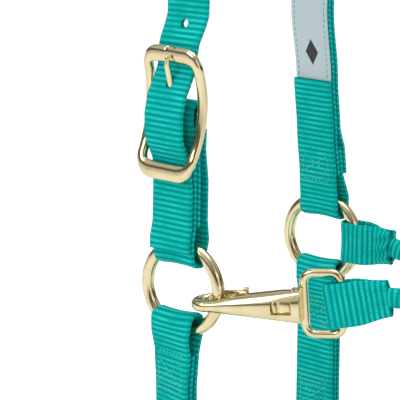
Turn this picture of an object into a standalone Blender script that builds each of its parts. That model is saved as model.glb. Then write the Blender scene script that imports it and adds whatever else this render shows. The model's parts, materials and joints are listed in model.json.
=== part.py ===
"""Horse halter of sewn nylon webbing with cast and wire hardware, modelled in metres, +Z up.

The origin is on the inner face of the crown strap, at the top of the poll. +X points to the horse's
tail, -Y to its near (left) side. The two upper rings share one axis along Y, on which the lower half
swings against the crown. Heights written as "up" are measured from that axis, and "out" is the distance
away from the head, measured from the middle of a side strap.
"""

import math

import bmesh
import bpy
from mathutils import Matrix, Vector

# Webbing
WEB_WIDTH = 0.0254
WEB = 0.0026
GAP = 0.0003
PLY = WEB + GAP
# Side straps: half their spacing at the upper rings, and how far they lean in per metre
HALF_SPAN = 0.066
CROWN_LEAN = 0.045
CHEEK_LEAN = 0.022
CROWN_STRAIGHT = 0.178
CHEEK_DROP = 0.185
# Round rings
RING_ROOM = 0.0126
RING_BORE = WEB_WIDTH + RING_ROOM
RING_WIRE = 0.0064
LEAD_RING_ROOM = 0.0186
LEAD_RING_BORE = WEB_WIDTH + LEAD_RING_ROOM
# Side squares
SQUARE_ROOM = 0.0066
SQUARE_BORE = WEB_WIDTH + SQUARE_ROOM
SQUARE_WIRE = 0.0050
# Buckle
BUCKLE_UP = 0.0915
BUCKLE_HEIGHT = 0.070
BUCKLE_BAR_HEIGHT = 0.0088
BUCKLE_RAIL = 0.0052
BUCKLE_ROOM = 0.0042
BUCKLE_WIDTH = WEB_WIDTH + 2 * BUCKLE_RAIL + BUCKLE_ROOM
BUCKLE_THICK = 0.0044
CENTRE_BAR_RADIUS = 0.0025
TONGUE_WIDTH = 0.0036
TONGUE_THICK = 0.0024
HOLE_PITCH = 0.029
HOLE_RADIUS = 0.0025
HOLE_COUNT = 3
TAIL_END_UP = 0.0205
# Far side of the crown
LABEL_WIDTH = 0.0225
LABEL_THICK = 0.0006
LABEL_LOW_UP = 0.090
LABEL_HIGH_UP = 0.165
# Snap
SNAP_HEADING = math.radians(20)
SNAP_PITCH = math.radians(4)
SNAP_UP = -0.0045
HOOK_RADIUS = 0.0030
EYE_WIRE = 0.0042
EYE_LENGTH = 0.0240
BODY_START = 0.0100
BODY_END = 0.0430
BODY_FRONT_HEIGHT = 0.0085
BODY_REAR_HEIGHT = 0.0165
BOLT_RADIUS = 0.0022
# Lower half
NOSE_REACH = 0.125
LEAD_RING_X = 0.085
THROAT_REACH = 0.168
THROAT_DROP = 0.038
ROLL_RADIUS = 0.0052
TAB_LENGTH = 0.030
TAB_WIDTH = WEB_WIDTH - 0.0034
EYE_ROOM = 0.0051
EYE_HEIGHT = TAB_WIDTH + 2 * EYE_WIRE + EYE_ROOM
ROLL_CLEAR = 0.0016

ARC_STEP = math.radians(24)
HALF_WIDTH = WEB_WIDTH / 2
RING_MEAN = (RING_BORE + RING_WIRE) / 2
LEAD_RING_MEAN = (LEAD_RING_BORE + RING_WIRE) / 2
SQUARE_MEAN = (SQUARE_BORE + SQUARE_WIRE) / 2
RING_CLEAR = RING_MEAN + RING_WIRE / 2 + 0.0085
NEAR, FAR = -1, 1


def span(up):
    """Half the spacing of the side straps at a height above, or below, the upper rings."""
    lean = CROWN_LEAN if up > 0 else CHEEK_LEAN
    return HALF_SPAN - lean * max(0, abs(up) - RING_CLEAR)


ARCH_RADIUS = span(CROWN_STRAIGHT)
RING_Z = -(CROWN_STRAIGHT + ARCH_RADIUS - WEB / 2)
SQUARE_SPAN = span(CHEEK_DROP * -1)

TEAL = (0.0, 0.37, 0.31, 1.0)
BRASS = (0.80, 0.66, 0.36, 1.0)
SILVER = (0.55, 0.60, 0.62, 1.0)
STEEL = (0.60, 0.60, 0.58, 1.0)

for old in list(bpy.data.objects):
    bpy.data.objects.remove(old, do_unlink=True)
PARTS = bpy.data.collections.new("horse_halter")
CUTTERS = bpy.data.collections.new("cutters")
for group in (PARTS, CUTTERS):
    bpy.context.scene.collection.children.link(group)


# ---------------------------------------------------------------- small helpers

def material(name, colour, roughness, metallic):
    """A Principled material of one colour."""
    made = bpy.data.materials.new(name)
    made.use_nodes = True
    shader = made.node_tree.nodes["Principled BSDF"]
    shader.inputs["Base Color"].default_value = colour
    shader.inputs["Roughness"].default_value = roughness
    shader.inputs["Metallic"].default_value = metallic
    return made


def add(name, data, finish, matrix=None):
    """A named part with its own copy of a finish."""
    part = bpy.data.objects.new(name, data)
    PARTS.objects.link(part)
    data.materials.append(material(name + "_finish", *finish))
    if matrix is not None:
        part.matrix_world = matrix
    return part


FABRIC_FINISH = (TEAL, 0.6, 0.0)
BRASS_FINISH = (BRASS, 0.2, 1.0)
LABEL_FINISH = (SILVER, 0.4, 0.0)
STEEL_FINISH = (STEEL, 0.3, 1.0)


def frame_matrix(origin, along, up):
    """A matrix whose X runs along, Y runs up and Z is their cross product."""
    x_axis, y_axis = Vector(along).normalized(), Vector(up).normalized()
    z_axis = x_axis.cross(y_axis)
    turn = Matrix((x_axis, y_axis, z_axis)).transposed().to_4x4()
    return Matrix.Translation(Vector(origin)) @ turn


def rounded(corners, radius, closed=False):
    """Points of a route with its corners rounded to a radius, or to what its sides leave."""
    corners = [Vector(corner) for corner in corners]
    count = len(corners)
    points = []
    for i, here in enumerate(corners):
        if not closed and i in (0, count - 1):
            points.append(here)
            continue
        before, after = corners[i - 1], corners[(i + 1) % count]
        back, ahead = before - here, after - here
        turn = math.pi - back.angle(ahead)
        if turn < 0.01:
            points.append(here)
            continue
        reach = min(radius * math.tan(turn / 2), 0.4999 * back.length, 0.4999 * ahead.length)
        fillet = reach / math.tan(turn / 2)
        middle = here + (back.normalized() + ahead.normalized()).normalized() * fillet / math.cos(turn / 2)
        first = here + back.normalized() * reach - middle
        last = here + ahead.normalized() * reach - middle
        steps = max(2, math.ceil(turn / ARC_STEP))
        for step in range(steps + 1):
            share = step / steps
            sines = math.sin((1 - share) * turn), math.sin(share * turn)
            points.append(middle + (first * sines[0] + last * sines[1]) / math.sin(turn)
                          if turn < math.pi - 0.01 else middle + first.lerp(last, share))
    return points


def flat_curve(name, outlines, half_depth, closed=True):
    """A 2D curve of straight-sided splines, extruded both ways."""
    curve = bpy.data.curves.new(name, "CURVE")
    curve.dimensions = "2D" if closed else "3D"
    curve.fill_mode = "BOTH" if closed else "FULL"
    curve.extrude = half_depth
    for outline in outlines:
        spline = curve.splines.new("POLY")
        spline.points.add(len(outline) - 1)
        for point, place in zip(spline.points, outline):
            point.co = (place[0], place[1], 0, 1)
        spline.use_cyclic_u = closed
    return curve


def web(name, route, matrix, width=WEB_WIDTH, thick=WEB, finish=FABRIC_FINISH):
    """A strip of webbing laid along a flat route, as wide as the webbing across it."""
    strip = add(name, flat_curve(name, [route], width / 2, closed=False), finish, matrix)
    solidify = strip.modifiers.new("thickness", "SOLIDIFY")
    solidify.thickness = thick
    solidify.offset = 0
    solidify.use_even_offset = True
    return strip


def as_mesh(part):
    """The part as one welded mesh object, in place of its curve."""
    graph = bpy.context.evaluated_depsgraph_get()
    data = bpy.data.meshes.new_from_object(part.evaluated_get(graph))
    name, matrix = part.name, part.matrix_world.copy()
    bpy.data.objects.remove(part, do_unlink=True)
    cleaned = bmesh.new()
    cleaned.from_mesh(data)
    bmesh.ops.remove_doubles(cleaned, verts=cleaned.verts, dist=1e-6)
    bmesh.ops.recalc_face_normals(cleaned, faces=cleaned.faces)
    cleaned.to_mesh(data)
    cleaned.free()
    made = bpy.data.objects.new(name, data)
    PARTS.objects.link(made)
    made.matrix_world = matrix
    return made


def tool(part):
    """Makes a part a hidden cutter or a shape that another part joins."""
    PARTS.objects.unlink(part)
    CUTTERS.objects.link(part)
    part.hide_render = True
    part.display_type = "WIRE"
    return part


def boolean(part, other, operation="DIFFERENCE", solver="EXACT"):
    """Cuts, or joins, another solid."""
    change = part.modifiers.new(operation.lower(), "BOOLEAN")
    change.operation = operation
    change.object = other
    change.solver = solver


def rod(name, start, end, radius, sides=20, finish=BRASS_FINISH):
    """A straight round rod between two points."""
    start, end = Vector(start), Vector(end)
    data = bpy.data.meshes.new(name)
    shape = bmesh.new()
    bmesh.ops.create_cone(shape, cap_ends=True, segments=sides, radius1=radius, radius2=radius,
                          depth=(end - start).length)
    shape.to_mesh(data)
    shape.free()
    turn = (end - start).to_track_quat("Z", "Y").to_matrix().to_4x4()
    return add(name, data, finish, Matrix.Translation((start + end) / 2) @ turn)


def block(name, size, matrix, finish=BRASS_FINISH):
    """A plain box of a size, centred on a matrix."""
    data = bpy.data.meshes.new(name)
    shape = bmesh.new()
    bmesh.ops.create_cube(shape, size=1, matrix=Matrix.Diagonal((*size, 1)))
    shape.to_mesh(data)
    shape.free()
    return add(name, data, finish, matrix)


def wire(name, route, radius, matrix, closed=False, finish=BRASS_FINISH):
    """A round wire bent along a flat or spatial route."""
    curve = bpy.data.curves.new(name, "CURVE")
    curve.dimensions = "3D"
    curve.bevel_depth = radius
    curve.bevel_resolution = 2
    curve.use_fill_caps = True
    spline = curve.splines.new("POLY")
    spline.points.add(len(route) - 1)
    for point, place in zip(spline.points, route):
        point.co = (*Vector(place).to_3d(), 1)
    spline.use_cyclic_u = closed
    return add(name, curve, finish, matrix)


# ---------------------------------------------------------------- places on the halter

def side_route(side, places):
    """(out, up) places on one side as (y, z) points."""
    return [(side * (span(up) + out), RING_Z + up) for out, up in places]


ACROSS = frame_matrix((0, 0, 0), (0, 1, 0), (0, 0, 1))
LEVEL = frame_matrix((0, 0, 0), (1, 0, 0), (0, 1, 0))
LENGTHWISE = frame_matrix((0, 0, 0), (1, 0, 0), (0, 0, 1))
SNAP_AXIS = Vector((math.cos(SNAP_HEADING) * math.cos(SNAP_PITCH),
                    math.sin(SNAP_HEADING) * math.cos(SNAP_PITCH), math.sin(SNAP_PITCH)))
SNAP_OUT = Vector((math.sin(SNAP_HEADING), -math.cos(SNAP_HEADING), 0))
SNAP_ORIGIN = Vector((RING_MEAN - 0.0022, -HALF_SPAN, RING_Z + SNAP_UP))
SNAP = frame_matrix(SNAP_ORIGIN, SNAP_AXIS, -SNAP_OUT)


def hold(wire_radius):
    """How far a ply's middle lies from the middle of a wire that it wraps."""
    return wire_radius + GAP + WEB / 2


def ring_fold(mean, half_width=HALF_WIDTH):
    """Distance from a ring's centre to the middle of a ply folded straight across its curved wire."""
    lean = math.asin(half_width / mean)
    return mean * math.cos(lean) - RING_WIRE / 2 / math.cos(lean) - GAP - WEB / 2


RING_HOLD = hold(RING_WIRE / 2) + 0.0002
SQUARE_HOLD = hold(SQUARE_WIRE / 2) + 0.0004
BAR_HOLD = hold(CENTRE_BAR_RADIUS)
FOLD = ring_fold(RING_MEAN)
LEAD_FOLD = ring_fold(LEAD_RING_MEAN)
LEAD_CLEAR = LEAD_RING_MEAN + RING_WIRE / 2 + 0.0085


# ---------------------------------------------------------------- crown

def buckle_bow(up):
    """How far the buckle's frame stands out from its centre bar at a height."""
    share = (up - BUCKLE_UP) / (BUCKLE_HEIGHT / 2 - BUCKLE_BAR_HEIGHT)
    return BUCKLE_BOW * min(1, share * share)


BAR_OUT = PLY / 2
STRAP_OVER_BAR = BAR_OUT + BAR_HOLD + PLY
BUCKLE_TOP_UP = BUCKLE_UP + BUCKLE_HEIGHT / 2 - BUCKLE_BAR_HEIGHT / 2
BUCKLE_LOW_UP = BUCKLE_UP - BUCKLE_HEIGHT / 2 + BUCKLE_BAR_HEIGHT / 2
UNDER_FRAME = 2 * PLY + 0.00035
BUCKLE_BOW = UNDER_FRAME + WEB * 0.55 + 2 * GAP + 0.00027 + BUCKLE_THICK / 2 - BAR_OUT
HOLE_UP = BUCKLE_UP + 0.0135
NOTCH_DEPTH = 0.0010
TONGUE_REST_OUT = BAR_OUT + BUCKLE_BOW + BUCKLE_THICK / 2 - NOTCH_DEPTH + GAP + TONGUE_THICK / 2
TONGUE_EYE = CENTRE_BAR_RADIUS + GAP + TONGUE_THICK / 2


def crown_strap():
    """The long strap: tail, buckle, poll and the far side's outer ply."""
    hole_low, hole_high = HOLE_UP - 0.0045, HOLE_UP + 0.0065
    near = [(RING_HOLD + PLY, TAIL_END_UP), (RING_HOLD + PLY, RING_CLEAR - 0.008), (2 * PLY, RING_CLEAR),
            (2 * PLY, BUCKLE_LOW_UP - 0.007), (UNDER_FRAME, BUCKLE_LOW_UP - 0.004),
            (UNDER_FRAME, BUCKLE_LOW_UP + 0.010), (STRAP_OVER_BAR, BUCKLE_UP - 0.008),
            (STRAP_OVER_BAR + 0.0022, hole_low), (UNDER_FRAME - 0.0016, hole_high),
            (UNDER_FRAME - 0.0006, BUCKLE_TOP_UP + 0.003), (0, BUCKLE_TOP_UP + 0.016), (0, CROWN_STRAIGHT)]
    far = [(PLY, RING_CLEAR + 0.004), (PLY, 0.053), (0, 0.063), (0, CROWN_STRAIGHT)]
    route = rounded(side_route(NEAR, near), 0.006)
    facets = 11
    for i in range(facets + 1):
        turn = math.pi * i / facets
        corner = 1 / math.cos(math.pi / facets / 2)
        if 0 < i < facets:
            route.append(Vector((-math.cos(turn) * ARCH_RADIUS * corner,
                                 RING_Z + CROWN_STRAIGHT + math.sin(turn) * ARCH_RADIUS * corner)))
    route += reversed(rounded(side_route(FAR, far), 0.006))
    strap = as_mesh(web("crown_strap", route, ACROSS))
    for i in range(HOLE_COUNT):
        up = HOLE_UP + i * HOLE_PITCH
        y = -span(up)
        hole = rod(f"hole_{i}", (0, y + 0.012, RING_Z + up), (0, y - 0.020, RING_Z + up), HOLE_RADIUS, 12)
        boolean(strap, tool(hole))
    slot = block("tongue_slot", (TONGUE_WIDTH + 0.0014, 0.030, 0.0155),
                 Matrix.Translation((0, -span(HOLE_UP) - 0.006, RING_Z + HOLE_UP - 0.00175)))
    boolean(strap, tool(slot))


def crown_far_side():
    """Lining ply, reflective label and the ply that holds the far ring."""
    web("crown_lining", side_route(FAR, [(-PLY, RING_CLEAR + 0.004), (-PLY, LABEL_HIGH_UP)]), ACROSS)
    label_out = -PLY - WEB / 2 - GAP - LABEL_THICK / 2
    loop_top = LABEL_LOW_UP - GAP
    web("crown_label", side_route(FAR, [(label_out, LABEL_LOW_UP), (label_out, LABEL_HIGH_UP)]), ACROSS,
        LABEL_WIDTH, LABEL_THICK, LABEL_FINISH)
    loop = [(-2 * PLY, loop_top), (-2 * PLY, 0.030), (-RING_HOLD, 0.024), (-RING_HOLD, FOLD),
            (RING_HOLD, FOLD), (RING_HOLD, 0.0245), (0, 0.037), (0, 0.053)]
    web("offside_ring_loop", rounded(side_route(FAR, loop), RING_HOLD), ACROSS)


def buckle_chape():
    """The folded piece between the buckle's bar and the near ring, slotted for the tongue."""
    route = [(-PLY - 0.0013, 0.082), (-PLY, 0.072), (-PLY, 0.034), (-RING_HOLD, 0.0245),
             (-RING_HOLD, FOLD), (RING_HOLD, FOLD), (RING_HOLD, 0.0245), (PLY, 0.034), (PLY, 0.076),
             (BAR_OUT + BAR_HOLD, BUCKLE_UP - 0.005), (BAR_OUT + BAR_HOLD, BUCKLE_UP + BAR_HOLD),
             (BAR_OUT - BAR_HOLD, BUCKLE_UP + BAR_HOLD), (BAR_OUT - BAR_HOLD, BUCKLE_UP - 0.004),
             (0, 0.080), (0, 0.033)]
    chape = as_mesh(web("buckle_chape", rounded(side_route(NEAR, route), RING_HOLD), ACROSS))
    slot = block("chape_slot", (TONGUE_WIDTH + 0.0014, 0.016, 0.017),
                 Matrix.Translation((0, -span(BUCKLE_UP) - BAR_OUT, RING_Z + BUCKLE_UP + 0.0005)))
    boolean(chape, tool(slot), solver="MANIFOLD")


def buckle_outline(width, height, corner):
    """A round-cornered frame outline, its sides divided so that they can be bowed."""
    half_w, half_h = width / 2, height / 2
    corners = [(-half_w, -half_h), (half_w, -half_h), (half_w, half_h), (-half_w, half_h)]
    points = rounded(corners, corner, closed=True)
    per_corner = len(points) // len(corners)
    pieces = (4, 8, 4, 8)
    dense = []
    for i, point in enumerate(points):
        after = points[(i + 1) % len(points)]
        count = pieces[i // per_corner] if (i + 1) % per_corner == 0 else 1
        dense += [point.lerp(after, j / count) for j in range(count)]
    return dense


def buckle():
    """Bowed frame with its centre bar, and the tongue that turns on the bar."""
    outer = buckle_outline(BUCKLE_WIDTH, BUCKLE_HEIGHT, 0.011)
    inner = buckle_outline(BUCKLE_WIDTH - 2 * BUCKLE_RAIL, BUCKLE_HEIGHT - 2 * BUCKLE_BAR_HEIGHT, 0.006)
    shape = bmesh.new()
    for outline in (outer, inner):
        loop = [shape.verts.new((x, -span(BUCKLE_UP + up) - BAR_OUT - buckle_bow(BUCKLE_UP + up),
                                 RING_Z + BUCKLE_UP + up)) for x, up in outline]
        for i, vertex in enumerate(loop):
            shape.edges.new((vertex, loop[(i + 1) % len(loop)]))
    bmesh.ops.bridge_loops(shape, edges=shape.edges)
    bmesh.ops.recalc_face_normals(shape, faces=shape.faces)
    data = bpy.data.meshes.new("buckle_frame")
    shape.to_mesh(data)
    shape.free()
    frame = add("buckle_frame", data, BRASS_FINISH)
    wall = frame.modifiers.new("thickness", "SOLIDIFY")
    wall.thickness = BUCKLE_THICK
    wall.offset = 0
    wall.use_even_offset = True
    bar_end = BUCKLE_WIDTH / 2 - BUCKLE_RAIL / 2
    y, z = -span(BUCKLE_UP) - BAR_OUT, RING_Z + BUCKLE_UP
    bar = rod("centre_bar", (-bar_end, y, z), (bar_end, y, z), CENTRE_BAR_RADIUS, 16)
    boolean(frame, tool(bar), "UNION")
    notch = block("tongue_notch", (TONGUE_WIDTH + 0.0008, 0.004, 0.030),
                  Matrix.Translation((0, -span(BUCKLE_TOP_UP) - TONGUE_REST_OUT + TONGUE_THICK / 2 + GAP
                                      - 0.002, RING_Z + BUCKLE_TOP_UP)))
    boolean(frame, tool(notch))

    base = Vector((-span(BUCKLE_UP) - BAR_OUT, RING_Z + BUCKLE_UP))
    tip = Vector((-span(BUCKLE_TOP_UP) - TONGUE_REST_OUT, RING_Z + BUCKLE_TOP_UP + 0.0035))
    knee = tip - Vector((0, BUCKLE_BAR_HEIGHT))
    aim = math.asin(TONGUE_EYE / (knee - base).length)
    shaft = knee - base
    away = Vector((shaft.y, -shaft.x)).normalized() * TONGUE_EYE
    away.rotate(Matrix.Rotation(-aim, 2))
    turns = 14
    eye = []
    for i in range(turns + 1):
        swept = Matrix.Rotation(math.radians(290) * i / turns, 2)
        eye.append(base + swept @ -away)
    outline = [tip, knee] + eye
    web("buckle_tongue", outline, ACROSS, TONGUE_WIDTH, TONGUE_THICK, BRASS_FINISH)


# ---------------------------------------------------------------- rings and squares

def ring(name, centre, axis, mean=RING_MEAN):
    """A round wire ring about an axis through its centre."""
    data = bpy.data.curves.new(name, "CURVE")
    data.dimensions = "3D"
    data.bevel_depth = RING_WIRE / 2
    data.bevel_resolution = 3
    turns = 48
    spline = data.splines.new("POLY")
    spline.points.add(turns - 1)
    for i, point in enumerate(spline.points):
        turn = 2 * math.pi * i / turns
        point.co = (mean * math.cos(turn), mean * math.sin(turn), 0, 1)
    spline.use_cyclic_u = True
    turn = Vector(axis).to_track_quat("Z", "X").to_matrix().to_4x4()
    add(name, data, BRASS_FINISH, Matrix.Translation(Vector(centre)) @ turn)


def square(name, side):
    """The square ring that joins cheek, nose and chin on one side."""
    half = SQUARE_MEAN
    corners = [(-half, -half), (half, -half), (half, half), (-half, half)]
    route = rounded(corners, 0.004, closed=True)
    place = frame_matrix((0, side * SQUARE_SPAN, RING_Z - CHEEK_DROP), (1, 0, 0), (0, 0, 1))
    wire(name, route, SQUARE_WIRE / 2, place, closed=True)


# ---------------------------------------------------------------- lower half

def cheek(name, side):
    """A three-ply strap from an upper ring to the square below it."""
    top = -RING_CLEAR
    bar = -CHEEK_DROP + SQUARE_MEAN
    low = bar + SQUARE_WIRE / 2 + 0.017
    route = [(0, top), (0, low), (-SQUARE_HOLD, low - 0.012), (-SQUARE_HOLD, bar - SQUARE_HOLD),
             (SQUARE_HOLD, bar - SQUARE_HOLD), (SQUARE_HOLD, low - 0.012), (PLY, low), (PLY, top),
             (RING_HOLD, top + 0.0095), (RING_HOLD, -FOLD), (-RING_HOLD, -FOLD),
             (-RING_HOLD, top + 0.0095), (-PLY, top), (-PLY, low + 0.006)]
    web(name, rounded(side_route(side, route), RING_HOLD), ACROSS)


def noseband():
    """The band in front of the nose, folded back round the front bar of both squares."""
    bar, spread = SQUARE_MEAN, PLY / 2
    outs = [(-0.062, spread), (-bar - 0.016, spread), (-bar - 0.006, SQUARE_HOLD),
            (-bar + SQUARE_HOLD, SQUARE_HOLD), (-bar + SQUARE_HOLD, -SQUARE_HOLD),
            (-bar - 0.006, -SQUARE_HOLD), (-bar - 0.016, -spread), (-0.070, -spread)]
    near = [(x, -(SQUARE_SPAN + out)) for x, out in outs]
    far = [(x, SQUARE_SPAN + out) for x, out in reversed(outs)]
    ends = rounded(near, SQUARE_HOLD), rounded(far, SQUARE_HOLD)
    width = SQUARE_SPAN - spread
    nose = [(-NOSE_REACH, -width), (-NOSE_REACH, width)]
    arc = rounded([near[-1], *nose, far[0]], NOSE_REACH - 0.072)
    route = ends[0][:-1] + arc + ends[1][1:]
    web("noseband", route, LEVEL @ Matrix.Translation((0, 0, RING_Z - CHEEK_DROP)))


def offset(route, outs):
    """A route's points moved sideways, each by its own distance, along the mitre of its corner."""
    route = [Vector(point) for point in route]
    moved = []
    for i, here in enumerate(route):
        ahead = (route[i + 1] - here if i + 1 < len(route) else here - route[i - 1]).normalized()
        behind = (here - route[i - 1] if i else ahead).normalized()
        mitre = Vector((-(ahead + behind).y, (ahead + behind).x)).normalized()
        moved.append(here + mitre * outs[i] / max(0.2, abs(mitre.dot(Vector((-ahead.y, ahead.x))))))
    return moved


def belt(name, route, holds, matrix):
    """A two-ply strap round a bar at each end of a route, its cut ends butted on one side."""
    spread = PLY / 2
    outs = [holds[0], holds[0]] + [spread] * (len(route) - 4) + [holds[1], holds[1]]
    one = offset(route, outs)
    other = offset(route, [-out for out in outs])
    half = len(route) // 2
    joint = (one[half - 1] + one[half]) / 2
    along = (one[half] - one[half - 1]).normalized() * 0.0005
    strip = [joint + along] + one[half:] + other[::-1] + one[:half] + [joint - along]
    web(name, rounded(strip, max(holds)), matrix)


def chin(name, side):
    """The strap from a square's rear bar back to the side of the lead ring."""
    bar_x, bar_y = SQUARE_MEAN, SQUARE_SPAN
    route = [(bar_x - SQUARE_HOLD, bar_y), (bar_x + 0.006, bar_y), (bar_x + 0.018, bar_y - 0.003),
             (LEAD_RING_X - 0.010, LEAD_CLEAR + 0.010), (LEAD_RING_X, LEAD_CLEAR),
             (LEAD_RING_X, LEAD_CLEAR - 0.0095), (LEAD_RING_X, LEAD_FOLD)]
    route = [(x, side * y) for x, y in route]
    belt(name, route, (SQUARE_HOLD, RING_HOLD),
         LEVEL @ Matrix.Translation((0, 0, RING_Z - CHEEK_DROP)))


def jaw():
    """The strap from the lead ring up to the rolled throat strap."""
    ring_z = RING_Z - CHEEK_DROP
    roll = Vector((THROAT_REACH, RING_Z - THROAT_DROP))
    low = Vector((LEAD_RING_X, ring_z + LEAD_CLEAR + 0.004))
    climb = (roll - low).normalized()
    roll_hold = hold(ROLL_RADIUS) + 0.0050
    route = [(LEAD_RING_X, ring_z + LEAD_FOLD), (LEAD_RING_X, ring_z + LEAD_CLEAR - 0.0095),
             (LEAD_RING_X, ring_z + LEAD_CLEAR - 0.001), tuple(low + climb * 0.012),
             tuple(roll - climb * (roll_hold + 0.020)), tuple(roll - climb * 0.006),
             tuple(roll + climb * roll_hold)]
    belt("jaw_strap", route, (RING_HOLD, roll_hold), LENGTHWISE)


# ---------------------------------------------------------------- throat strap and snap

def tab(name, matrix, bar, fold_hold, fold, end):
    """A flat folded end of the throat strap, from its fold round a bar to its cut end."""
    spread = PLY / 2
    route = [(end, -spread), (bar + 0.014, -spread), (bar + 0.005, -fold_hold), (fold, -fold_hold),
             (fold, fold_hold), (bar + 0.005, fold_hold), (bar + 0.014, spread), (end, spread)]
    web(name, rounded(route, fold_hold), matrix, TAB_WIDTH)


def throat():
    """The throat strap: a flat tab at each end and the rolled length between them."""
    eye_bar = BODY_END + EYE_LENGTH - EYE_WIRE / 2
    near_hold = hold(EYE_WIRE / 2)
    near_end = eye_bar + TAB_LENGTH - 0.006
    tab("throat_near_tab", SNAP, eye_bar, near_hold, eye_bar - near_hold, near_end)
    far_matrix = Matrix.Translation((0, HALF_SPAN, RING_Z))
    far_end = RING_BORE / 2 + TAB_LENGTH - 0.004
    tab("throat_far_tab", far_matrix, RING_MEAN, RING_HOLD, ring_fold(RING_MEAN, TAB_WIDTH / 2), far_end)

    start = SNAP @ Vector((near_end + ROLL_CLEAR, 0, 0))
    finish = far_matrix @ Vector((far_end + ROLL_CLEAR, 0, 0))
    middle = Vector((THROAT_REACH, 0, RING_Z - THROAT_DROP))
    curve = bpy.data.curves.new("throat_roll", "CURVE")
    curve.dimensions = "3D"
    curve.bevel_depth = ROLL_RADIUS
    curve.bevel_resolution = 2
    curve.resolution_u = 9
    curve.use_fill_caps = True
    spline = curve.splines.new("BEZIER")
    spline.bezier_points.add(2)
    near_pull = SNAP_AXIS * 0.034 - Vector((0, 0, 0.006))
    far_pull = Vector((0.055, 0.004, -0.014))
    knots = ((start, start - near_pull, start + near_pull),
             (middle, middle - Vector((0, 0.032, 0)), middle + Vector((0, 0.050, 0))),
             (finish, finish + far_pull, finish - far_pull))
    for point, (place, left, right) in zip(spline.bezier_points, knots):
        point.handle_left_type = point.handle_right_type = "FREE"
        point.co, point.handle_left, point.handle_right = place, left, right
    add("throat_roll", curve, FABRIC_FINISH)


HOOK_ROOM = 0.0009
BOLT_LINE = HOOK_RADIUS + RING_WIRE / 2 + HOOK_ROOM
CHANNEL_RADIUS = BOLT_RADIUS + 0.0003
BOLT_TIP = 0.0002
BOLT_LENGTH = 0.0220
SPRING_RADIUS = 0.0017
SPRING_WIRE = 0.0004
PLUG_LENGTH = 0.0035
CHANNEL_END = BODY_END - 0.0020


def snap_body():
    """The cast body with its hook, the bolt's channel and thumb slot, and the fixed square eye."""
    depth = BOLT_LINE + HOOK_RADIUS
    length = BODY_END - BODY_START
    body = block("snap_body", (length, 2 * depth, 1), SNAP @ Matrix.Translation(
        ((BODY_START + BODY_END) / 2, 0, 0)))
    for vertex in body.data.vertices:
        height = BODY_REAR_HEIGHT if vertex.co.x > 0 else BODY_FRONT_HEIGHT
        vertex.co.z = math.copysign(height / 2, vertex.co.z)
    centre = -BOLT_LINE - HOOK_RADIUS + 0.0081
    hook = [(BODY_START + 0.006, -BOLT_LINE), (centre, -BOLT_LINE)]
    turns = 12
    for i in range(1, turns):
        turn = math.pi * i / turns
        hook.append((centre - BOLT_LINE * math.sin(turn), -BOLT_LINE * math.cos(turn)))
    hook += [(centre, BOLT_LINE), (BOLT_TIP - 0.0006, BOLT_LINE)]
    boolean(body, tool(as_mesh(wire("snap_hook", hook, HOOK_RADIUS, SNAP))), "UNION")
    long, tall = EYE_LENGTH - EYE_WIRE, EYE_HEIGHT - EYE_WIRE
    eye_x = BODY_END + EYE_WIRE / 2 - 0.0012
    corners = [(eye_x, -tall / 2), (eye_x + long + 0.0012, -tall / 2), (eye_x + long + 0.0012, tall / 2),
               (eye_x, tall / 2)]
    upright = SNAP @ Matrix.Rotation(math.pi / 2, 4, "X")
    boolean(body, tool(as_mesh(wire("snap_eye", rounded(corners, 0.0045, closed=True), EYE_WIRE / 2,
                                    upright, closed=True))), "UNION")
    low = SNAP @ Vector((BODY_START - 0.004, BOLT_LINE, 0))
    high = SNAP @ Vector((CHANNEL_END, BOLT_LINE, 0))
    boolean(body, tool(rod("bolt_channel", low, high, CHANNEL_RADIUS, 16)))
    slot = block("thumb_slot", (0.0155, 0.0032, 0.012),
                 SNAP @ Matrix.Translation((BODY_START + 0.0095, BOLT_LINE, 0.0065)))
    boolean(body, tool(slot))
    window = block("body_window", (0.0115, 0.005, 0.0070),
                   SNAP @ Matrix.Translation((BODY_END - 0.0075, -depth, 0)))
    boolean(body, tool(window))


def snap_works():
    """Bolt with its thumb tab, the coil spring behind it and the plug that holds the spring."""
    bolt_end = BOLT_TIP + BOLT_LENGTH
    bolt = rod("snap_bolt", SNAP @ Vector((BOLT_TIP, BOLT_LINE, 0)),
               SNAP @ Vector((bolt_end, BOLT_LINE, 0)), BOLT_RADIUS, 16)
    thumb = block("thumb_tab", (0.0040, 0.0026, 0.0085),
                  SNAP @ Matrix.Translation((BODY_START + 0.0045, BOLT_LINE, 0.0053)))
    boolean(bolt, tool(thumb), "UNION")
    plug_start = CHANNEL_END - GAP - PLUG_LENGTH
    rod("snap_plug", SNAP @ Vector((plug_start, BOLT_LINE, 0)),
        SNAP @ Vector((CHANNEL_END - GAP, BOLT_LINE, 0)), BOLT_RADIUS, 16)
    first, last = bolt_end + GAP + SPRING_WIRE, plug_start - GAP - SPRING_WIRE
    turns, steps = 7, 10
    coil = []
    for i in range(turns * steps + 1):
        turn = 2 * math.pi * i / steps
        coil.append((first + (last - first) * i / (turns * steps),
                     BOLT_LINE + (SPRING_RADIUS - SPRING_WIRE) * math.cos(turn),
                     (SPRING_RADIUS - SPRING_WIRE) * math.sin(turn)))
    wire("snap_spring", coil, SPRING_WIRE, SNAP, finish=STEEL_FINISH)


# ---------------------------------------------------------------- the halter

def main():
    """Models every part of the halter."""
    crown_strap()
    crown_far_side()
    buckle_chape()
    buckle()
    for name, side in (("near_upper_ring", NEAR), ("far_upper_ring", FAR)):
        ring(name, (0, side * HALF_SPAN, RING_Z), (0, 1, 0))
    ring("lead_ring", (LEAD_RING_X, 0, RING_Z - CHEEK_DROP), (1, 0, 0), LEAD_RING_MEAN)
    for word, side in (("near", NEAR), ("far", FAR)):
        square(f"{word}_side_square", side)
        cheek(f"{word}_cheek_strap", side)
        chin(f"{word}_chin_strap", side)
    noseband()
    jaw()
    throat()
    snap_body()
    snap_works()


main()
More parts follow.
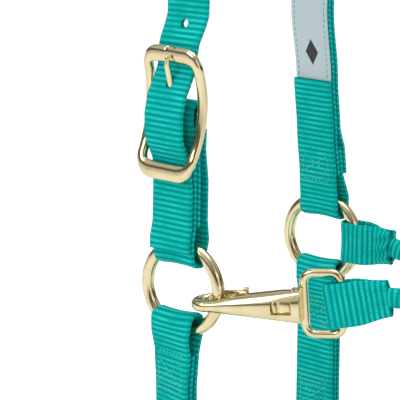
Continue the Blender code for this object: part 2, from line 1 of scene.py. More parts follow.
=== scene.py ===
"""Looks of a horse halter of ribbed nylon webbing with pale brass hardware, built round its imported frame.

Lengths are metres, +Z is up, +X points to the horse's tail and -Y to its near side. Heights called "up" are
measured from the axis of the two upper rings, and "out" is the distance away from the head from the middle of
a side strap.
"""

from __future__ import annotations

import bisect
import json
import logging
import math
import sys
from dataclasses import dataclass, field
from enum import Enum
from typing import Callable, Sequence

import bpy
from mathutils import Euler, Matrix, Vector, noise

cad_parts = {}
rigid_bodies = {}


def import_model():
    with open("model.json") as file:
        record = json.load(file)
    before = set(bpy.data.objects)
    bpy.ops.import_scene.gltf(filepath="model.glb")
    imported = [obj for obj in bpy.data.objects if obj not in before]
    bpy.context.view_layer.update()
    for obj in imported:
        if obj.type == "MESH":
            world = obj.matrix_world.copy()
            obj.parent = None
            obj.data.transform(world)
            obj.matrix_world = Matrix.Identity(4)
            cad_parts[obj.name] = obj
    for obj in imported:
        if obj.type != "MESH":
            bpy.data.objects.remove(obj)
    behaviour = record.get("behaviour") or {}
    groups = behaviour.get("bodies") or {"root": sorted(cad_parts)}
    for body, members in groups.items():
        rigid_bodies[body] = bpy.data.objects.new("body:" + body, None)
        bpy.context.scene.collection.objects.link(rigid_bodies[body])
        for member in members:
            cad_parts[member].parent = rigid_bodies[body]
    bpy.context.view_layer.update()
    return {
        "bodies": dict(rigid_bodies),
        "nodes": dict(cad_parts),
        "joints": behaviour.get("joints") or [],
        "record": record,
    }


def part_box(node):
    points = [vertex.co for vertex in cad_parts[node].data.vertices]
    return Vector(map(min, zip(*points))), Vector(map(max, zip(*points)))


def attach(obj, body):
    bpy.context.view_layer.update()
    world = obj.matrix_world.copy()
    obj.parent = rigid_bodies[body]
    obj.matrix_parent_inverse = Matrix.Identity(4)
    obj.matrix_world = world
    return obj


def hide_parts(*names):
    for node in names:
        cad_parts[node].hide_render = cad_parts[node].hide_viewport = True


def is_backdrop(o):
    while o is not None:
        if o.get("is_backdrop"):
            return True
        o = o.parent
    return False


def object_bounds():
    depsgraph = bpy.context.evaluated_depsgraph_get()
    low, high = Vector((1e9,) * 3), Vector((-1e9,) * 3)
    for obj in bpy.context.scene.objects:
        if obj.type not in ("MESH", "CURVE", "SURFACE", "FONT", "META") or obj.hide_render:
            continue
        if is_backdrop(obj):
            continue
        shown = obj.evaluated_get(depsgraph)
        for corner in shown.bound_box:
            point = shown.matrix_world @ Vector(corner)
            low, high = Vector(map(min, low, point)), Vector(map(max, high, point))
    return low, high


LOG = logging.getLogger("halter")
MM = 0.001
WEAVE_UV = "weave"

Plane = tuple[float, float]
Shape = Callable[[float, float], Vector]


class Side(Enum):
    """The side of the horse that a strap lies on."""

    NEAR = -1
    FAR = 1


class Axis(Enum):
    """The directions that a flat route's own x and y take in the halter."""

    ACROSS = ((0, 1, 0), (0, 0, 1))
    LEVEL = ((1, 0, 0), (0, 1, 0))
    LENGTHWISE = ((1, 0, 0), (0, 0, 1))


# ---------------------------------------------------------------- materials


class Socket:
    """A value in a material's node tree, on which Python's operators add Math nodes."""

    def __init__(self, shading: Shading, link: bpy.types.NodeSocket) -> None:
        """Keeps the socket and the tree it belongs to.

        Args:
            shading: The material that the socket is part of.
            link: The node's output.
        """
        self.shading = shading
        self.link = link

    def maths(self, operation: str, *values: Socket | float) -> Socket:
        """Adds a Math node.

        Args:
            operation: The Math node's operation.
            values: Its inputs, in order.

        Returns:
            The node's output.
        """
        return self.shading.node("ShaderNodeMath", {"operation": operation}, dict(enumerate(values)))

    def __add__(self, other: Socket | float) -> Socket:
        """Adds."""
        return self.maths("ADD", self, other)

    def __radd__(self, other: float) -> Socket:
        """Adds, with the number first."""
        return self.maths("ADD", other, self)

    def __sub__(self, other: Socket | float) -> Socket:
        """Subtracts."""
        return self.maths("SUBTRACT", self, other)

    def __rsub__(self, other: float) -> Socket:
        """Subtracts from a number."""
        return self.maths("SUBTRACT", other, self)

    def __mul__(self, other: Socket | float) -> Socket:
        """Multiplies."""
        return self.maths("MULTIPLY", self, other)

    def __truediv__(self, other: Socket | float) -> Socket:
        """Divides."""
        return self.maths("DIVIDE", self, other)

    def __abs__(self) -> Socket:
        """Drops the sign."""
        return self.maths("ABSOLUTE", self)

    def sine(self) -> Socket:
        """Takes the sine."""
        return self.maths("SINE", self)

    def at_most(self, other: Socket | float) -> Socket:
        """Takes the smaller of the two."""
        return self.maths("MINIMUM", self, other)

    def ramp(self, low: float, high: float) -> Socket:
        """Rises smoothly from 0 at low to 1 at high."""
        return self.shading.node("ShaderNodeMapRange", {"interpolation_type": "SMOOTHSTEP"},
                                 {"Value": self, "From Min": low, "From Max": high})


class Shading:
    """A material under construction: its nodes come from node(), and its constants from constant()."""

    def __init__(self, name: str) -> None:
        """Starts a material with a Principled shader.

        Args:
            name: The material's name.
        """
        self.material = bpy.data.materials.new(name)
        self.material.use_nodes = True
        self.tree = self.material.node_tree
        self.shader = self.tree.nodes["Principled BSDF"]

    def node(self, kind: str, settings: dict[str, object] | None = None,
             inputs: dict[str | int, object] | None = None, output: str | int = 0) -> Socket:
        """Adds a node.

        Args:
            kind: The node's type.
            settings: Attributes of the node, set before its sockets.
            inputs: Values, or sockets to link, by the input's name or number.
            output: The output that is wanted.

        Returns:
            That output.
        """
        made = self.tree.nodes.new(kind)
        for name, value in (settings or {}).items():
            setattr(made, name, value)
        for name, value in (inputs or {}).items():
            if isinstance(value, Socket):
                self.tree.links.new(value.link, made.inputs[name])
            else:
                made.inputs[name].default_value = value
        return Socket(self, made.outputs[output])

    def mix(self, share: Socket | float, first: object, second: object) -> Socket:
        """Blends two colours.

        Args:
            share: How much of the second colour there is.
            first: The first colour, or a socket that gives one.
            second: The second colour, or a socket that gives one.

        Returns:
            The blend.
        """
        return self.node("ShaderNodeMix", {"data_type": "RGBA"}, {0: share, 6: first, 7: second}, 2)

    def grain(self, place: Socket, scale: float, detail: float = 2.0) -> Socket:
        """Gives smooth noise from 0 to 1.

        Args:
            place: The coordinates.
            scale: Cells in a metre.
            detail: Octaves of finer noise.

        Returns:
            The noise.
        """
        return self.node("ShaderNodeTexNoise", None, {"Vector": place, "Scale": scale, "Detail": detail})

    def bump(self, height: Socket, depth: float, strength: float = 1.0) -> None:
        """Dents the surface by a height from 0 to 1.

        Args:
            height: The height.
            depth: Metres that a height of 1 stands for.
            strength: The bump's share.
        """
        self.feed("Normal", self.node("ShaderNodeBump", None, {"Strength": strength, "Distance": depth,
                                                             "Height": height}, "Normal"))

    def feed(self, name: str, value: Socket) -> None:
        """Links a value to one of the shader's sockets."""
        self.tree.links.new(value.link, self.shader.inputs[name])

    def constant(self, **values: object) -> None:
        """Sets sockets of the shader, with a space in a name written as an underscore."""
        for name, value in values.items():
            self.shader.inputs[name.replace("_", " ")].default_value = value


@dataclass(frozen=True)
class WebbingFinish:
    """Ribbed nylon: broad ribs across the strap and fine yarns along it, with painted shade between the ribs
    and at the woven edges and a painted highlight on the rib tops.
    """

    name: str = "teal_webbing"
    # painted highlight colour, laid on the rib tops
    painted_crest_highlight: tuple[float, float, float, float] = (0.055, 0.860, 0.810, 1.0)
    body: tuple[float, float, float, float] = (0.0, 0.345, 0.308, 1.0)
    # painted shade colour, laid between the ribs and along the woven edges
    painted_shade: tuple[float, float, float, float] = (0.0, 0.245, 0.218, 1.0)
    rib_pitch: float = 2.8 * MM
    yarn_pitch: float = 0.78 * MM
    edge: float = 12.1 * MM
    roughness: float = 0.50
    gloss: float = 0.01

    def make(self) -> bpy.types.Material:
        """Builds the material on the strap's own coordinates in metres.

        Returns:
            The material.
        """
        look = Shading(self.name)
        place = look.node("ShaderNodeUVMap", {"uv_map": WEAVE_UV})
        parts = {"Vector": place}
        across = look.node("ShaderNodeSeparateXYZ", None, parts, "X")
        along = look.node("ShaderNodeSeparateXYZ", None, parts, "Y")
        rib = abs((along * (math.pi / self.rib_pitch)).sine())
        row = look.node("ShaderNodeMath", {"operation": "FLOOR"}, {0: along / self.rib_pitch})
        yarn = abs(((across + row * (0.5 * self.yarn_pitch)) * (math.pi / self.yarn_pitch)).sine())
        patches = look.grain(place, 70.0)
        fibres = look.grain(place, 1900.0)
        height = rib * 0.45 + yarn * 0.35 + fibres * 0.35
        # Painted shade: the colour darkens towards the bottom between the ribs, where shade would fall.
        shade = rib.ramp(0.0, 0.60)
        colour = look.mix(shade, self.painted_shade, self.body)
        # Painted highlight: the tops of the ribs and yarns take a bright colour in patches, as if lit, and
        # are made a little less rough there.
        lit = rib.ramp(0.62, 1.0) * yarn.ramp(0.15, 0.85) * (patches * 0.4 + fibres * 0.6).ramp(0.36, 0.62)
        colour = look.mix(lit * 0.72, colour, self.painted_crest_highlight)
        # Painted shade: the colour darkens within a millimetre of the woven edges, where the strap's sides
        # would fall into shade.
        painted_edge_shade = abs(across).ramp(self.edge - 0.9 * MM, self.edge)
        colour = look.mix(painted_edge_shade * 0.35, colour, self.painted_shade)
        look.feed("Base Color", colour)
        look.feed("Roughness", self.roughness + fibres * 0.16 - lit * 0.10)
        look.bump(height, 0.30 * MM, 0.8)
        look.constant(Specular_IOR_Level=self.gloss)
        return look.material


@dataclass(frozen=True)
class BrassFinish:
    """Pale brass plating, polished, with faint ripples and fine wear."""

    name: str = "pale_brass"
    colour: tuple[float, float, float, float] = (0.760, 0.655, 0.400, 1.0)
    worn: tuple[float, float, float, float] = (0.640, 0.520, 0.275, 1.0)
    roughness: float = 0.085

    def make(self) -> bpy.types.Material:
        """Builds the material on the piece's own place.

        Returns:
            The material.
        """
        look = Shading(self.name)
        place = look.node("ShaderNodeTexCoord", None, None, "Object")
        cloud = look.grain(place, 140.0, 3.0)
        fine = look.grain(place, 1500.0, 3.0)
        look.feed("Base Color", look.mix(cloud.ramp(0.35, 0.75) * 0.55, self.colour, self.worn))
        look.feed("Roughness", self.roughness + cloud * 0.06 + fine.ramp(0.52, 0.75) * 0.09)
        look.bump(cloud * 0.8 + fine * 0.2, 0.10 * MM, 0.22)
        look.constant(Metallic=1.0)
        return look.material


@dataclass(frozen=True)
class SteelFinish:
    """Bright spring wire, drawn along its length."""

    name: str = "spring_steel"
    colour: tuple[float, float, float, float] = (0.62, 0.62, 0.60, 1.0)
    roughness: float = 0.25

    def make(self) -> bpy.types.Material:
        """Builds the material.

        Returns:
            The material.
        """
        look = Shading(self.name)
        place = look.node("ShaderNodeTexCoord", None, None, "Object")
        fine = look.grain(place, 2500.0)
        look.feed("Base Color", look.mix(fine, self.colour, (0.42, 0.41, 0.38, 1.0)))
        look.feed("Roughness", self.roughness + fine * 0.15)
        look.constant(Metallic=1.0)
        return look.material


@dataclass(frozen=True)
class ThreadFinish:
    """Twisted nylon sewing thread, a little brighter than the webbing it is sewn through."""

    name: str = "teal_thread"
    colour: tuple[float, float, float, float] = (0.035, 0.560, 0.455, 1.0)
    shade: tuple[float, float, float, float] = (0.0, 0.330, 0.265, 1.0)

    def make(self) -> bpy.types.Material:
        """Builds the material.

        Returns:
            The material.
        """
        look = Shading(self.name)
        place = look.node("ShaderNodeTexCoord", None, None, "Object")
        fine = look.grain(place, 1700.0)
        look.feed("Base Color", look.mix(fine.ramp(0.35, 0.7), self.colour, self.shade))
        look.feed("Roughness", 0.38 + fine * 0.2)
        look.bump(fine, 0.12 * MM, 0.6)
        look.constant(Sheen_Weight=0.2)
        return look.material


@dataclass(frozen=True)
class LabelFinish:
    """Silver-grey reflective strip with a fine bead grain and a plain dark lozenge near its lower end."""

    name: str = "silver_label"
    colour: tuple[float, float, float, float] = (0.470, 0.540, 0.570, 1.0)
    shade: tuple[float, float, float, float] = (0.405, 0.475, 0.505, 1.0)
    mark: tuple[float, float, float, float] = (0.012, 0.013, 0.014, 1.0)
    mark_along: float = 15.0 * MM
    mark_half_width: float = 4.6 * MM
    mark_half_length: float = 7.4 * MM

    def make(self) -> bpy.types.Material:
        """Builds the material on the strip's own coordinates in metres.

        Returns:
            The material.
        """
        look = Shading(self.name)
        place = look.node("ShaderNodeUVMap", {"uv_map": WEAVE_UV})
        parts = {"Vector": place}
        across = look.node("ShaderNodeSeparateXYZ", None, parts, "X")
        along = look.node("ShaderNodeSeparateXYZ", None, parts, "Y")
        beads = look.grain(place, 2600.0)
        clouds = look.grain(place, 90.0)
        colour = look.mix(beads * 0.5 + clouds * 0.5, self.colour, self.shade)
        away = abs(across) / self.mark_half_width + abs(along - self.mark_along) / self.mark_half_length
        edge = away.ramp(0.93, 1.0)
        colour = look.mix(edge, self.mark, colour)
        look.feed("Base Color", colour)
        look.feed("Roughness", 0.38 + beads * 0.22)
        look.bump(beads + edge * 0.6, 0.05 * MM, 0.6)
        look.constant(Sheen_Weight=0.1)
        return look.material


@dataclass(frozen=True)
class FloorFinish:
    """Plain pale studio floor, which glows a little where it is looked at, so that it stays even."""

    name: str = "studio_floor"
    glow: float = 0.35

    def make(self) -> bpy.types.Material:
        """Builds the material.

        Returns:
            The material.
        """
        look = Shading(self.name)
        place = look.node("ShaderNodeTexCoord", None, None, "Object")
        look.feed("Roughness", 0.8 + look.grain(place, 4.0) * 0.1)
        seen = look.node("ShaderNodeLightPath", None, None, "Is Camera Ray")
        look.feed("Emission Color", look.mix(seen, (0.0, 0.0, 0.0, 1.0), (1.0, 1.0, 1.0, 1.0)))
        look.constant(Base_Color=(0.90, 0.90, 0.90, 1.0), Emission_Strength=self.glow)
        return look.material


@dataclass
class Finishes:
    """One material of each finish, shared by the pieces that wear it."""

    webbing: bpy.types.Material = field(default_factory=lambda: WebbingFinish().make())
    thread: bpy.types.Material = field(default_factory=lambda: ThreadFinish().make())
    brass: bpy.types.Material = field(default_factory=lambda: BrassFinish().make())
    steel: bpy.types.Material = field(default_factory=lambda: SteelFinish().make())
    label: bpy.types.Material = field(default_factory=lambda: LabelFinish().make())


# ---------------------------------------------------------------- modelling helpers


def deselect() -> None:
    """Leaves nothing selected, so that the next operator acts on its own piece alone."""
    if bpy.context.object and bpy.context.object.mode != "OBJECT":
        bpy.ops.object.mode_set(mode="OBJECT")
    bpy.ops.object.select_all(action="DESELECT")


def only(piece: bpy.types.Object) -> bpy.types.Object:
    """Selects one piece and makes it active."""
    deselect()
    piece.select_set(True)
    bpy.context.view_layer.objects.active = piece
    return piece


def settle(piece: bpy.types.Object) -> bpy.types.Object:
    """Moves a piece's place and turn into its mesh, so that its object sits at the origin."""
    only(piece)
    bpy.ops.object.transform_apply(location=True, rotation=True, scale=True)
    return piece


def finish_modifier(piece: bpy.types.Object, kind: str, **settings: object) -> None:
    """Adds a modifier, sets it and applies it.

    Args:
        piece: The piece it changes.
        kind: The modifier's type.
        settings: Its values.
    """
    only(piece)
    change = piece.modifiers.new(kind.lower(), kind)
    for name, value in settings.items():
        setattr(change, name, value)
    bpy.ops.object.modifier_apply(modifier=change.name)


def clean(piece: bpy.types.Object, angle: float = 50.0) -> bpy.types.Object:
    """Merges doubled points, turns all faces outwards and shades the piece smooth.

    Args:
        piece: The piece.
        angle: Edges sharper than this stay sharp, in degrees.

    Returns:
        The piece.
    """
    only(piece)
    bpy.ops.object.mode_set(mode="EDIT")
    bpy.ops.mesh.select_all(action="SELECT")
    bpy.ops.mesh.remove_doubles(threshold=0.002 * MM)
    bpy.ops.mesh.normals_make_consistent(inside=False)
    bpy.ops.object.mode_set(mode="OBJECT")
    bpy.ops.object.shade_smooth_by_angle(angle=math.radians(angle))
    return piece


def dress(piece: bpy.types.Object, material: bpy.types.Material) -> bpy.types.Object:
    """Gives a piece one material."""
    piece.data.materials.clear()
    piece.data.materials.append(material)
    return piece


def join(name: str, pieces: Sequence[bpy.types.Object]) -> bpy.types.Object:
    """Joins pieces into one object.

    Args:
        name: Its name.
        pieces: What it is made of.

    Returns:
        The joined piece.
    """
    deselect()
    for piece in pieces:
        piece.select_set(True)
    bpy.context.view_layer.objects.active = pieces[0]
    bpy.ops.object.join()
    joined = bpy.context.object
    joined.name = joined.data.name = name
    return joined


def subtract(piece: bpy.types.Object, cutter: bpy.types.Object) -> None:
    """Cuts one piece by another, which is then removed."""
    finish_modifier(piece, "BOOLEAN", operation="DIFFERENCE", object=cutter, solver="EXACT")
    bpy.data.objects.remove(cutter, do_unlink=True)


def unite(piece: bpy.types.Object, other: bpy.types.Object) -> None:
    """Makes two pieces that overlap one body."""
    finish_modifier(piece, "BOOLEAN", operation="UNION", object=other, solver="EXACT")
    bpy.data.objects.remove(other, do_unlink=True)


def closed_form(name: str, around: int, about: int, shape: Shape) -> bpy.types.Object:
    """A closed loop of any section, shaped from a torus.

    Args:
        name: The piece's name.
        around: Segments the long way round.
        about: Segments of its section.
        shape: Gives the point at the two angles, the long way round and about the section.

    Returns:
        The piece.
    """
    deselect()
    bpy.ops.mesh.primitive_torus_add(major_segments=around, minor_segments=about, major_radius=1.0,
                                     minor_radius=0.25)
    piece = bpy.context.object
    piece.name = piece.data.name = name
    for vertex in piece.data.vertices:
        x, y, z = vertex.co
        far = math.hypot(x, y)
        vertex.co = shape(math.atan2(y, x), math.atan2(z, far - 1.0))
    return clean(piece)


def open_form(name: str, along: int, about: int, shape: Shape, angle: float = 50.0,
              weave: Plane | None = None) -> bpy.types.Object:
    """A long form of any section whose two ends close, shaped from a grid that is rolled up.

    Args:
        name: The piece's name.
        along: Segments along it.
        about: Segments of its section.
        shape: Gives the point at a share of the length, from 0 to 1, and an angle about the section.
        angle: Edges sharper than this stay sharp, in degrees.
        weave: The size of the cloth that it is rolled from, for webbing: across and along.

    Returns:
        The piece.
    """
    deselect()
    bpy.ops.mesh.primitive_grid_add(x_subdivisions=about, y_subdivisions=along, size=1.0)
    piece = bpy.context.object
    piece.name = piece.data.name = name
    if weave:
        layer = piece.data.uv_layers.active
        layer.name = WEAVE_UV
        for corner in layer.data:
            corner.uv = ((corner.uv.x - 0.5) * weave[0], corner.uv.y * weave[1])
    for vertex in piece.data.vertices:
        share, turn = vertex.co.y + 0.5, (vertex.co.x + 0.5) * 2 * math.pi
        vertex.co = shape(share, turn)
    return clean(piece, angle)


def rod(name: str, start: Vector, end: Vector, radius: float, sides: int = 32) -> bpy.types.Object:
    """A plain round rod, used as a cutter.

    Args:
        name: Its name.
        start: The middle of one end.
        end: The middle of the other.
        radius: Its radius.
        sides: Its number of sides.

    Returns:
        The rod.
    """
    deselect()
    turn = (end - start).to_track_quat("Z", "Y").to_euler()
    bpy.ops.mesh.primitive_cylinder_add(vertices=sides, radius=radius, depth=(end - start).length,
                                        location=(start + end) / 2, rotation=turn)
    bpy.context.object.name = name
    return settle(bpy.context.object)


def block(name: str, size: Vector, place: Matrix, bevel: float = 0.0, segments: int = 3) -> bpy.types.Object:
    """A box with rounded edges.

    Args:
        name: Its name.
        size: Its three sides.
        place: Its middle and turn.
        bevel: The radius of its edges.
        segments: The segments of its edges.

    Returns:
        The box.
    """
    deselect()
    bpy.ops.mesh.primitive_cube_add(size=1.0)
    piece = bpy.context.object
    piece.name = piece.data.name = name
    piece.scale = size
    settle(piece)
    if bevel:
        finish_modifier(piece, "BEVEL", width=bevel, segments=segments)
    piece.matrix_world = place
    return settle(piece)


def smooth_step(value: float) -> float:
    """Rises smoothly from 0 at 0 to 1 at 1."""
    value = min(1.0, max(0.0, value))
    return value * value * (3 - 2 * value)


def frame_matrix(origin: Vector, along: Vector, up: Vector) -> Matrix:
    """A place whose x runs along, y runs up and z is their cross product.

    Args:
        origin: Its origin.
        along: The direction of its x.
        up: The direction of its y.

    Returns:
        The matrix.
    """
    x_axis, y_axis = along.normalized(), up.normalized()
    turn = Matrix((x_axis, y_axis, x_axis.cross(y_axis))).transposed().to_4x4()
    return Matrix.Translation(origin) @ turn


def rounded(corners: Sequence[Plane], radius: float, closed: bool = False) -> list[Vector]:
    """Rounds the corners of a flat route.

    Args:
        corners: The route's corners.
        radius: The radius of the corners, where their sides leave room for it.
        closed: Whether the route closes.

    Returns:
        The points of the rounded route.
    """
    places = [Vector(corner) for corner in corners]
    count = len(places)
    points: list[Vector] = []
    for i, here in enumerate(places):
        if not closed and i in (0, count - 1):
            points.append(here)
            continue
        back, ahead = places[i - 1] - here, places[(i + 1) % count] - here
        turn = math.pi - back.angle(ahead)
        if turn < 0.01:
            points.append(here)
            continue
        half_tan = math.tan(turn / 2)
        reach = min(radius * half_tan, 0.4999 * back.length, 0.4999 * ahead.length)
        fillet = reach / half_tan
        middle = here + (back.normalized() + ahead.normalized()).normalized() * fillet / math.cos(turn / 2)
        first, last = here + back.normalized() * reach - middle, here + ahead.normalized() * reach - middle
        steps = max(3, math.ceil(turn / math.radians(7)))
        for step in range(steps + 1):
            share = step / steps
            points.append(middle + (first * math.sin((1 - share) * turn) + last * math.sin(share * turn))
                          / math.sin(turn) if turn < math.pi - 0.01 else middle + first.lerp(last, share))
    return points


class Route:
    """A flat or spatial path, measured along its length."""

    def __init__(self, points: Sequence[Vector], closed: bool = False) -> None:
        """Measures the path and its directions.

        Args:
            points: The path's points.
            closed: Whether it closes.
        """
        kept = [points[0]]
        for point in list(points[1:]) + ([points[0]] if closed else []):
            if (point - kept[-1]).length > 0.01 * MM:
                kept.append(point)
        self.points = kept
        self.marks = [0.0]
        for before, after in zip(kept, kept[1:]):
            self.marks.append(self.marks[-1] + (after - before).length)
        self.length = self.marks[-1]
        sides = [(after - before).normalized() for before, after in zip(kept, kept[1:])]
        first, last = (sides[-1] + sides[0], sides[-1] + sides[0]) if closed else (sides[0], sides[-1])
        self.heads = [first.normalized()] + [(a + b).normalized() for a, b in zip(sides, sides[1:])]
        self.heads.append(last.normalized())

    def at(self, distance: float) -> tuple[Vector, Vector]:
        """Finds a place on the path.

        Args:
            distance: How far along it is.

        Returns:
            The point and the direction there.
        """
        distance = min(self.length, max(0.0, distance))
        i = min(len(self.marks) - 2, max(0, bisect.bisect_right(self.marks, distance) - 1))
        share = (distance - self.marks[i]) / (self.marks[i + 1] - self.marks[i])
        return (self.points[i].lerp(self.points[i + 1], share),
                self.heads[i].lerp(self.heads[i + 1], share).normalized())


# ---------------------------------------------------------------- the shared fit


@dataclass(frozen=True)
class Fit:
    """Places and sizes that all sub-assemblies share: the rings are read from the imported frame."""

    ring_z: float
    half_span: float
    square_z: float
    square_span: float
    lead_x: float
    width: float = 25.4 * MM
    thick: float = 2.6 * MM
    ply: float = 2.9 * MM
    gap: float = 0.3 * MM
    ring_mean: float = 22.2 * MM
    ring_wire: float = 6.4 * MM
    lead_mean: float = 25.2 * MM
    square_mean: float = 18.5 * MM
    square_wire: float = 5.0 * MM
    ring_clear: float = 33.9 * MM
    lead_clear: float = 36.9 * MM
    crown_straight: float = 178.0 * MM
    fold: float = 12.707 * MM
    lead_fold: float = 16.461 * MM
    ring_hold: float = 5.0 * MM
    square_hold: float = 4.5 * MM
    crown_lean: float = 0.045
    cheek_lean: float = 0.022

    @classmethod
    def from_frame(cls) -> Fit:
        """Reads the ring and square places from the CAD nodes.

        Returns:
            The fit.
        """
        middles = {name: sum(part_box(name), Vector()) / 2
                   for name in ("near_upper_ring", "near_side_square", "lead_ring")}
        ring, square, lead = middles.values()
        return cls(ring.z, -ring.y, square.z, -square.y, lead.x)

    def span(self, up: float) -> float:
        """Gives half the spacing of the side straps.

        Args:
            up: The height above the upper rings.

        Returns:
            The distance from the halter's middle plane.
        """
        lean = self.crown_lean if up > 0 else self.cheek_lean
        return self.half_span - lean * max(0.0, abs(up) - self.ring_clear)

    def side(self, side: Side, places: Sequence[Plane]) -> list[Plane]:
        """Turns places on one side, given as out and up, into y and z.

        Args:
            side: The side.
            places: The places.

        Returns:
            The same places in the plane across the halter.
        """
        return [(side.value * (self.span(up) + out), self.ring_z + up) for out, up in places]


@dataclass(frozen=True)
class Hug:
    """How a strap that is folded round a ring's curved wire sags into it at the middle of its width."""

    centre: Plane
    away: Plane
    inner: float
    fold: float
    reach: float = 13.0 * MM
    sag: float = 0.22

    def shift(self, point: Vector, across: float, half_width: float) -> Vector:
        """Gives how far a point of the strap lies further from the ring than its edges do.

        Args:
            point: The point on the strap's flat route.
            across: Its distance from the middle of the width.
            half_width: Half the width.

        Returns:
            The shift in the route's plane.
        """
        away = Vector(self.away)
        distance = (point - Vector(self.centre)).dot(away)
        weight = smooth_step(1 - (distance - self.fold) / self.reach)
        if distance < 0 or not weight:
            return Vector((0, 0))
        across = min(abs(across), half_width)
        depth = math.sqrt(self.inner ** 2 - across ** 2) - math.sqrt(self.inner ** 2 - half_width ** 2)
        return away * (weight * self.sag * depth)


@dataclass(frozen=True)
class Hang:
    """How the straps of one side hang out of true: shifted along X and turned about their own length."""

    fit: Fit
    side: Side
    knots: tuple[tuple[float, float, float], ...]

    def at(self, up: float) -> Plane:
        """Finds the shift and turn at a height.

        Args:
            up: The height above the upper rings.

        Returns:
            The shift in metres and the turn in radians.
        """
        for (low, *before), (high, *after) in zip(self.knots, self.knots[1:]):
            if up < high or high == self.knots[-1][0]:
                share = smooth_step((up - low) / (high - low))
                shift, turn = (a + (b - a) * share for a, b in zip(before, after))
                return shift * MM, math.radians(turn)
        return 0.0, 0.0

    def __call__(self, point: Vector) -> Vector:
        """Moves a point of a strap to where it hangs."""
        up = point.z - self.fit.ring_z
        shift, turn = self.at(up)
        middle = Vector((0, self.side.value * self.fit.span(up), point.z))
        return middle + Matrix.Rotation(turn, 3, "Z") @ (point - middle) + Vector((shift, 0, 0))


@dataclass
class Webbing:
    """A strip of ribbed webbing: its cross ribs, woven edges and folds are in its mesh."""

    name: str
    place: Matrix
    route: Route
    width: float
    thick: float
    hugs: tuple[Hug, ...] = ()
    puff: Callable[[float, float], float] | None = None
    narrow: Callable[[float], float] | None = None
    hang: Callable[[Vector], Vector] | None = None
    rib_pitch: float = 2.8 * MM
    rib_height: float = 0.30 * MM
    rib_middle: float = 0.6
    rib_sharpness: float = 0.8
    edge_thinning: float = 0.42
    edge_nubs: float = 0.45 * MM
    waver: float = 0.12 * MM
    steps_per_rib: int = 6
    columns: int = 16
    piece: bpy.types.Object = field(init=False)

    def build(self) -> bpy.types.Object:
        """Weaves the strip flat, gives it its thickness and lays it along its route.

        Returns:
            The strip.
        """
        rows = max(8, round(self.route.length / self.rib_pitch * self.steps_per_rib))
        deselect()
        bpy.ops.mesh.primitive_grid_add(x_subdivisions=self.columns, y_subdivisions=rows, size=1.0,
                                        location=(0, 0, 0))
        self.piece = bpy.context.object
        self.piece.name = self.piece.data.name = self.name
        self.piece.scale = (self.width, self.route.length, 1)
        self.piece.location.y = self.route.length / 2
        settle(self.piece)
        finish_modifier(self.piece, "SOLIDIFY", thickness=self.thick, offset=0.0)
        mesh = self.piece.data
        flat = [vertex.co.copy() for vertex in mesh.vertices]
        layer = mesh.uv_layers.active or mesh.uv_layers.new()
        layer.name = WEAVE_UV
        for loop in mesh.loops:
            layer.data[loop.index].uv = flat[loop.vertex_index].xy
        for vertex, start in zip(mesh.vertices, flat):
            vertex.co = self.laid(start)
        return clean(self.piece, 60.0)

    def laid(self, start: Vector) -> Vector:
        """Finds where a point of the flat strip goes.

        Args:
            start: The point: x across the strip, y along it and z through its thickness.

        Returns:
            The point on the halter.
        """
        half = self.width / 2
        across, along, through = start
        rib = abs(math.sin(math.pi * along / self.rib_pitch)) ** self.rib_sharpness
        edge = abs(across) / half
        width = self.narrow(along) if self.narrow else 1.0
        face = math.copysign(1.0, through)
        swell = (rib - self.rib_middle) * self.rib_height * (1 - edge ** 8)
        rounding = 1 - self.edge_thinning * edge ** 14
        through = face * (abs(through) * rounding + swell)
        if edge > 0.97:
            across += math.copysign((rib - self.rib_middle) * self.edge_nubs, across)
        across *= width
        point, head = self.route.at(along)
        for hug in self.hugs:
            point = point + hug.shift(point, across, half)
        through += self.puff(along, across) if self.puff else 0.0
        waver = noise.noise(Vector((across * 60, along * 45, self.width * 999))) * self.waver
        side = Vector((-head.y, head.x))
        laid = point + side * (through + waver)
        point = self.place @ Vector((laid.x, laid.y, across))
        return self.hang(point) if self.hang else point


def axis_place(axis: Axis, origin: Vector | None = None) -> Matrix:
    """Gives the matrix of one of the halter's planes.

    Args:
        axis: The plane.
        origin: Its origin, or none for the halter's own.

    Returns:
        The matrix.
    """
    along, up = (Vector(direction) for direction in axis.value)
    return frame_matrix(origin or Vector(), along, up)


